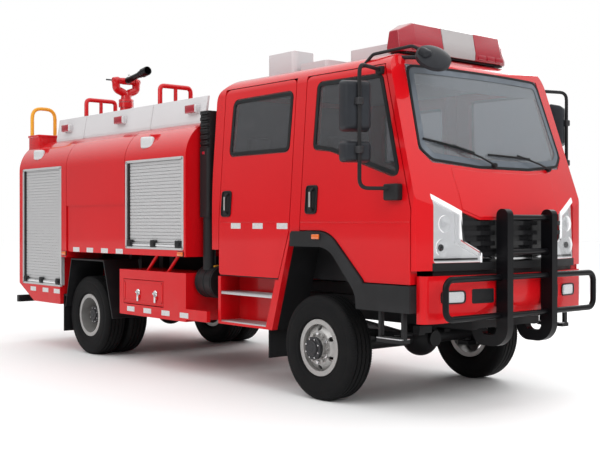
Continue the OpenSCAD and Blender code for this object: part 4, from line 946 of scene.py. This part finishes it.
for shellName, z in mirror["shells"]:
    case = mirrorCase("mirror" + shellName, z)
    dressPair(case, mirrorShell, "black_plastic", "front_door_right")
    glass = mirrorGlass("mirrorGlass" + shellName, z)
    dressPair(glass, mirrorSilver, "clear_glass", "front_door_right")
clampX = (postX - 0.035, postX + 0.024)
clamp = cubePiece("mirrorClamps", clampX, about(postY, 0.026), (1.962, 2.018), bevel=0.01, segments=3)
dressPair(rowOf("mirrorClamps", clamp, [(0, 0, 0.36)]), hubDark, "black_plastic", "front_door_right")
arm = filleted([(ax(x), y, z) for x, y, z in mirror["arm"]], 0.06)
dress(tubePiece("lookDownArm", arm, 0.013), trimBlack, "black_plastic")
wedge = cubePiece("lookDownWedge", (0.935, 1.035), (-0.865, -0.79), (2.69, 2.76), bevel=0.026, segments=4)
dress(turned(wedge, 30, "Y", (ax(0.985), -0.828, 2.725)), domeGrey, "black_plastic")
print("mirrors done")

# shutters: bright frames, side channels, latches and a lift bar along the bottom
bodyY = -1.158
shutter = {
    "openings": [("Front", (-2.838, -1.797), (1.2, 2.066)), ("Rear", (-5.26, -4.285), (0.735, 2.077))],
    "frameOut": (0.014, 0.012), "frameBend": 0.02, "frameRim": 0.024,  # out past the sides, and the top
    "guideY": (bodyY + 0.006, bodyY + 0.03), "foot": 0.012, "head": 0.014,
    "latchFirst": 0.075, "latchSteps": (0.425, 0.85),  # shares of the width
}
for shutterName, x, z in shutter["openings"]:
    out, outTop = shutter["frameOut"]
    corners = boxEdge((x[0] - out, x[1] + out), (z[0] - out, z[1] + outTop))
    edge = roundedOutline(corners, shutter["frameBend"])
    surround = sidePart("shutterFrame" + shutterName, edge, inner=0.012, depth=0.016, rim=shutter["frameRim"],
                        skin=lambda height: bodyY)
    dressPair(soften(surround, 0.002), slatMetal, "slat_aluminium")
    upright = shutter["guideY"], (z[0] + shutter["foot"], z[1] - shutter["head"]), 0.003
    channel = cubePiece("shutterChannel" + shutterName, (x[0] + 0.012, x[0] + 0.046), *upright)
    dressPair(channel, rubberBlack, "black_plastic")
    guide = cubePiece("shutterGuide" + shutterName, (x[1] - 0.04, x[1] - 0.012), *upright)
    dressPair(guide, slatMetal, "slat_aluminium")
    width = x[1] - x[0]
    middle = x[0] + width * shutter["latchFirst"]
    plate = cubePiece("latchPlate", about(middle, 0.055), (bodyY - 0.008, bodyY + 0.012),
                      (z[0] + 0.004, z[0] + 0.078), bevel=0.008)
    lever = cubePiece("latchLever", about(middle, 0.036), (bodyY - 0.02, bodyY - 0.004),
                      (z[0] + 0.022, z[0] + 0.058), bevel=0.006)
    name = "shutterLatches" + shutterName
    shifts = [(width * share, 0, 0) for share in shutter["latchSteps"]]
    latches = rowOf(name, joined(name, [plate, lever]), shifts)
    dressPair(latches, trimBlack, "black_plastic")
    lift = cubePiece("shutterLift" + shutterName, (x[0] + 0.05, x[1] - 0.05), (bodyY - 0.006, bodyY + 0.01),
                     (z[0] + 0.016, z[0] + 0.05), bevel=0.006, segments=3)
    dressPair(lift, brightMetal, "slat_aluminium")

# reflecting tapes
tape = {
    "half": (0.072, 0.025), "bend": 0.004,
    "rows": [  # name, places along, height, skin, body
        ("Tank", [-3.94, -3.63, -3.31, -3.0], 1.152, -1.144, "chassis"),
        ("Rear", [-4.99, -4.67, -4.385], 0.667, -1.158, "chassis"),
        ("Door", [-1.107, -0.787, -0.448], 1.42, -1.045, "rear_door_right"),
        ("Box", [-2.81, -2.49, -2.155, -1.83], 0.568, -1.12, "chassis")],
}
for rowName, places, z, skinY, body in tape["rows"]:
    name = "tape" + rowName
    halfX, halfZ = tape["half"]
    edge = roundedOutline(boxEdge(about(places[0], halfX), about(z, halfZ)), tape["bend"])
    first = sidePart(name, edge, inner=0.002, depth=0.0038, skin=lambda height: skinY)
    tapes = rowOf(name, first, [(x - places[0], 0, 0) for x in places[1:]])
    dressPair(tapes, reflectTape, "signal_lens", body)

# marker lamps, strobes on the fence, flood lamps on the shoulder, tail lamps
markerPlaces = [(-4.2, -1.158, 1.105), (-1.83, -1.158, 1.15), (0.01, -1.063, 1.335)]
lens = cubePiece("markerLens", about(0, 0.045), (-0.018, 0.004), about(0, 0.02), bevel=0.008, segments=3)
dressCopies(lens, "marker", markerPlaces, markerAmber, "signal_lens")
base = cubePiece("markerSeat", about(0, 0.052), (-0.005, 0.004), about(0, 0.026), bevel=0.003)
dressCopies(base, "markerBase", markerPlaces, trimBlack, "black_plastic")
strobePlaces = [(x, 0, 0) for x in (-4.556, -3.336, -1.961)]
base = cubePiece("strobeSeat", about(0, 0.085), (-0.945, -0.895), (2.505, 2.592), bevel=0.008)
dressCopies(base, "strobeBase", strobePlaces, deckWhite, "white_paint", ["body_lamps"])
lens = cubePiece("strobeGlass", (-0.085, 0.078), (-0.975, -0.94), (2.508, 2.59), bevel=0.012, segments=3)
dressCopies(lens, "strobeLens", strobePlaces, signalRed, "signal_lens")
cap = cubePiece("strobeEnd", (0.076, 0.096), (-0.972, -0.94), (2.51, 2.588), bevel=0.01, segments=3)
dressCopies(cap, "strobeCap", strobePlaces, floodWhite, "signal_lens")
flood = {
    "places": [(-2.516, 0, 0), (-4.936, 0, 0)], "turn": 18, "z": (2.205, 0.125),  # underside, height
    "plan": [(0.19, -1.02), (-0.03, -1.02), (-0.03, -1.07), (0.09, -1.12), (0.165, -1.06)],
}
case = sheetPiece("floodSeat", flood["plan"],
                  lambda a, b, layer: (ax(a), b, flood["z"][0] + flood["z"][1] * layer))
dressCopies(soften(case, 0.008), "floodCase", flood["places"], bodyRed, "signal_lens")
lens = cubePiece("floodGlass", (-0.05, 0.12), (-1.15, -1.062), (2.19, 2.306), bevel=0.024, segments=4)
turned(lens, flood["turn"], "Z", (ax(0.035), -1.106, 2.25))
dressCopies(lens, "floodLens", flood["places"], floodWhite, "signal_lens")
tail = {
    "x": -5.37, "lensZ": (0.795, 0.905),
    "lenses": [((-1.12, -1.045), markerAmber), ((-1.042, -0.96), signalRed), ((-0.957, -0.88), floodWhite)],
}
for k, (y, finish) in enumerate(tail["lenses"]):
    lens = cubePiece("tailLens" + str(k), about(tail["x"] - 0.017, 0.013), y, tail["lensZ"], 0.01, 3)
    dressPair(lens, finish, "signal_lens")
print("body lamps done")

# deck: racks, yellow hoop, corner box, ladder
rack = {"x": -4.35, "y": (-0.8, -0.42), "z": (2.42, 2.875), "railZ": 2.66, "postY": -0.61, "step": 1.59}
hoop = {"x": -5.31, "y": (-1.02, -0.72), "z": (2.49, 2.843)}
ladder = {"x": ax(tail["x"]), "reach": 0.06, "sink": 0.002, "y": (-1.02, -0.72), "z": (1.04, 2.3),
          "rungZ": 1.12, "rungStep": 0.27}


def archPath(x, y, z, bend):
    points = [(y[0], z[0]), (y[0], z[1]), (y[1], z[1]), (y[1], z[0])]
    return filleted([(ax(x), *point) for point in points], bend)


rackX = ax(rack["x"])
rackParts = [tubePiece("rackLoop", archPath(rack["x"], rack["y"], rack["z"], 0.05), 0.025),
             tubePiece("rackPost", [(rackX, rack["postY"], z) for z in rack["z"]], 0.021),
             tubePiece("rackRail", [(rackX, y, rack["railZ"]) for y in rack["y"]], 0.014)]
racks = rowOf("deckRacks", joined("deckRacks", rackParts), [(rack["step"], 0, 0)])
dress(racks, bodyRed, "body_red", hides=["deck_rails"])
dress(tubePiece("rearHoop", archPath(hoop["x"], hoop["y"], hoop["z"], 0.12), 0.022), hoopYellow, "body_red")
sunkX, railX = ladder["x"] + ladder["sink"], ladder["x"] - ladder["reach"]
(nearY, farY), (lowZ, highZ) = ladder["y"], ladder["z"]
railPath = [(sunkX, nearY, lowZ), (railX, nearY, lowZ), (railX, nearY, highZ), (sunkX, nearY, highZ)]
rail = tubePiece("ladderRails", filleted(railPath, 0.05), 0.017)
rung = tubePiece("ladderRungs", [(railX, y, ladder["rungZ"]) for y in ladder["y"]], 0.013)
rails = rowOf("ladderRails", rail, [(0, farY - nearY, 0)])
rungs = rowOf("ladderRungs", rung, [(0, 0, ladder["rungStep"] * k) for k in range(1, 5)])
dress(joined("rearLadder", [rails, rungs]), brightMetal, "slat_aluminium")
print("deck done")

# water cannon: two fat branches round to the trunnion, black barrel with a stepped nozzle
cannon = {
    "x": ax(-4.82), "z": 3.21, "tilt": -8.5, "tillerTilt": 9.0, "branchRadius": 0.049, "valveX": 0.09,
    "table": [(0.0, 3.03), (0.062, 3.03), (0.066, 2.99), (0.088, 2.982), (0.091, 2.976), (0.091, 2.95),
              (0.0, 2.95)],
    "branch": [(0.005, 3.000), (0.03, 3.062), (0.138, 3.1), (0.145, 3.208), (0.112, 3.21)],  # y, z
    "boss": [(0.02, 0.1125), (0.045, 0.1125), (0.045, 0.15), (0.036, 0.186), (0.02, 0.19)],
    "barrel": [(0.0, 0.03), (0.04, 0.036), (0.042, 0.06), (0.04, 0.085), (0.036, 0.11), (0.035, 0.33),
               (0.043, 0.336), (0.043, 0.352), (0.037, 0.36), (0.037, 0.385), (0.052, 0.395), (0.055, 0.403),
               (0.055, 0.42), (0.051, 0.424), (0.051, 0.438), (0.055, 0.442), (0.055, 0.505), (0.052, 0.518),
               (0.044, 0.52), (0.04, 0.505), (0.03, 0.41), (0.0, 0.4)],
    "cross": [(0.0, -0.1105), (0.036, -0.1105), (0.04, -0.106), (0.04, -0.06), (0.043, -0.05), (0.043, 0.05),
              (0.04, 0.06), (0.04, 0.106), (0.036, 0.1105), (0.0, 0.1105)],
    "tiller": (0.03, 0.2, 0.5), "tillerRadius": 0.01,  # how far back its points are
    "grip": [(0.009, -0.15), (0.015, -0.146), (0.016, -0.08), (0.015, -0.044), (0.009, -0.04)],
    "valve": [(0.0, 0.074), (0.014, 0.072), (0.018, 0.066), (0.018, 0.056), (0.008, 0.052), (0.008, 0.03)],
    "bolts": {"circle": 0.16, "count": 8, "size": 0.013, "length": 0.012, "bevel": 0.002}, "boltZ": 2.465,
}
cannonX, cannonZ = cannon["x"], cannon["z"]
trunnion = (cannonX, 0, cannonZ)


def withBarrel(piece, tilt, finish, slot, hides=()):  # pieces that pitch, tilted as in the photo
    dress(turned(piece, tilt, "Y", trunnion), finish, slot, "monitor_barrel", hides)


headParts = [spunPiece("cannonTable", cannon["table"], (cannonX, 0, 0), "Z", closed=False)]
for k, side in enumerate((-1, 1)):
    branch = filleted([(cannonX, y * side, z) for y, z in cannon["branch"]], 0.06, steps=8)
    headParts.append(tubePiece("cannonBranch" + str(k), branch, cannon["branchRadius"], sides=6))
    boss = [(r, y * side) for r, y in cannon["boss"]]
    headParts.append(spunPiece("cannonBoss" + str(k), boss, trunnion, "Y", 40))
dress(joined("cannonHead", headParts), bodyRed, "body_red", "monitor_head", ["cannon_head"])
barrel = spunPiece("cannonBarrel", cannon["barrel"], trunnion, "X", closed=False)
withBarrel(barrel, cannon["tilt"], guardBlack, "black_plastic", ["cannon_barrel"])
cross = spunPiece("cannonCross", cannon["cross"], trunnion, "Y", 40, False)
dress(cross, bodyRed, "body_red", "monitor_barrel")
tiller = [(cannonX - back, 0, cannonZ) for back in cannon["tiller"]]
tiller = tubePiece("cannonTiller", tiller, cannon["tillerRadius"], sides=4)
withBarrel(tiller, cannon["tillerTilt"], hubDark, "drive_metal")
grip = spunPiece("cannonGrip", cannon["grip"], trunnion, "X", 24)
withBarrel(grip, cannon["tillerTilt"], rubberBlack, "black_plastic")
valve = spunPiece("cannonValve", cannon["valve"], (cannonX + cannon["valveX"], 0, cannonZ), "Z", 24, False)
withBarrel(valve, cannon["tilt"], brightMetal, "drive_metal")
bolts = boltRing("cannonBolts", (cannonX, 0, cannon["boltZ"]), "Z", **cannon["bolts"])
dress(bolts, brightMetal, "drive_metal")
print("cannon done")

# step boxes: latches and a rim on the flaps
flap = {
    "latchX": -2.661, "latchStep": 0.325, "latchPlace": (-1.12, 0.745),  # y, z
    "latch": [(0.0, -0.01), (0.03, -0.01), (0.034, -0.006), (0.034, 0.002), (0.0, 0.002)],
    "edge": boxEdge((-2.935, -2.212), (0.65, 0.858)), "skin": -1.118,
}
latchX = flap["latchX"]
latchParts = [spunPiece("boxLatch", flap["latch"], (ax(latchX), *flap["latchPlace"]), "Y", 32, False),
              cubePiece("boxLever", about(latchX, 0.042), (-1.135, -1.124), (0.738, 0.758), bevel=0.004),
              cubePiece("boxTail", about(latchX, 0.014), (-1.136, -1.124), (0.655, 0.748), bevel=0.005)]
latches = rowOf("boxLatches", joined("boxLatches", latchParts), [(flap["latchStep"], 0, 0)])
dressPair(latches, brightMetal, "drive_metal", "step_flap_right")
flapRim = sidePart("flapRim", roundedOutline(flap["edge"], 0.012), inner=0, depth=0.006, rim=0.016,
                   skin=lambda height: flap["skin"])
dressPair(soften(flapRim, 0.003), bodyRed, "body_red", "step_flap_right")

# cab steps: tread bars and nosings
step = {"z": (0.556, 0.82), "x": (-1.325, -0.665), "longer": 0.08, "bars": 6, "barStep": 0.034}
for k, z in enumerate(step["z"]):
    low, high = step["x"][0], step["x"][1] + step["longer"] * k
    name = "treadBars" + str(k)
    tread = cubePiece(name, (low, high), (-1.036, -1.016), (z, z + 0.005), bevel=0.0015)
    treads = rowOf(name, tread, [(0, step["barStep"] * n, 0) for n in range(1, step["bars"])])
    dressPair(treads, treadMetal, "slat_aluminium")
    nosing = cubePiece("treadNose" + str(k), (low - 0.007, high + 0.005), (-1.044, -1.036),
                       (z - 0.022, z + 0.006), bevel=0.003)
    dressPair(nosing, treadMetal, "slat_aluminium")

# air cleaner straps and tag, snorkel ribs, roof beacon
intake = {
    "strap": [(0.149, -0.01), (0.155, -0.008), (0.155, 0.008), (0.149, 0.01)],
    "strapPlace": (ax(-1.745), -0.89, 0.89), "strapStep": 0.105, "ribStep": 0.026, "ribs": 13,
}
strap = spunPiece("cleanerRings", intake["strap"], intake["strapPlace"], "X", 64)
straps = rowOf("cleanerRings", strap, [(intake["strapStep"] * k, 0, 0) for k in (1, 2)])
dress(straps, trimBlack, "black_plastic")
rib = cubePiece("snorkelRibs", (-1.69, -1.58), (-1.026, -0.985), (2.155, 2.167))
ribs = rowOf("snorkelRibs", rib, [(0, 0, intake["ribStep"] * k) for k in range(1, intake["ribs"])])
dress(ribs, trimBlack, "black_plastic")

# plain rounded boxes: spans along, across and up, bevel and its segments, finish and slot, body of a pair
boxes = {
    "benchBase": ((-1.23, -0.8), (-0.8, 0.8), (1.0, 1.329), 0.012, 2, trimBlack, "black_plastic"),
    "liningBack": ((-1.442, -1.43), (-0.93, 0.93), (1.26, 2.655), 0.004, 2, liningGrey, "black_plastic"),
    "liningRoof": ((-1.425, 0.6), (-0.86, 0.86), (2.65, 2.664), 0.004, 2, liningGrey, "black_plastic"),
    "barTray": ((0.4, 0.58), (-0.6, 0.6), (2.802, 2.82), 0.006, 2, trimBlack, "black_plastic"),
    "cornerBox": ((-5.365, -5.09), (-1.04, -0.7), (2.3, 2.505), 0.014, 3, bodyRed, "body_red"),
    "cornerLid": ((-5.372, -5.083), (-1.048, -0.692), (2.478, 2.508), 0.008, 3, bodyRed, "body_red"),
    "cleanerTag": ((-1.665, -1.585), (-0.945, -0.86), (1.026, 1.046), 0.006, 2, hoopYellow, "black_plastic"),
    "roofBeacon": ((-1.262, -0.878), (-0.552, -0.308), (2.925, 3.022), 0.022, 3, signalRed, "signal_lens"),
    # the red reflector on the snorkel takes signalRed, whose faint glow is painted light here, since a
    # reflector is not a lamp
    "snorkelReflector": ((-1.672, -1.632), (-1.026, -1.017), (2.09, 2.118), 0.003, 2, signalRed,
                         "signal_lens"),
}
boxPairs = {
    "barFoot": ((0.405, 0.57), (-0.5, -0.38), (2.77, 2.806), 0.008, 2, trimBlack, "black_plastic", "chassis"),
    "mirrorBase": ((0.8, 0.95), (-1.092, -1.022), (1.615, 1.74), 0.016, 3, trimBlack, "black_plastic",
                   "front_door_right"),
    "mirrorHinge": ((0.625, 0.695), (-1.000, -0.952), (2.59, 2.65), 0.01, 3, trimBlack, "black_plastic",
                    "front_door_right"),
    "tailBase": ((-5.382, -5.366), (-1.126, -0.874), (0.788, 0.912), 0.004, 2, trimBlack, "black_plastic",
                 "chassis"),
    "grabTread": ((0.69, 0.955), (-1.047, -0.953), (0.572, 0.582), 0.003, 2, treadMetal, "slat_aluminium",
                  "chassis"),
}
for name, (*form, finish, slot) in boxes.items():
    dress(cubePiece(name, *form), finish, slot)
for name, (*form, finish, slot, body) in boxPairs.items():
    dressPair(cubePiece(name, *form), finish, slot, body)
print("small fittings done")
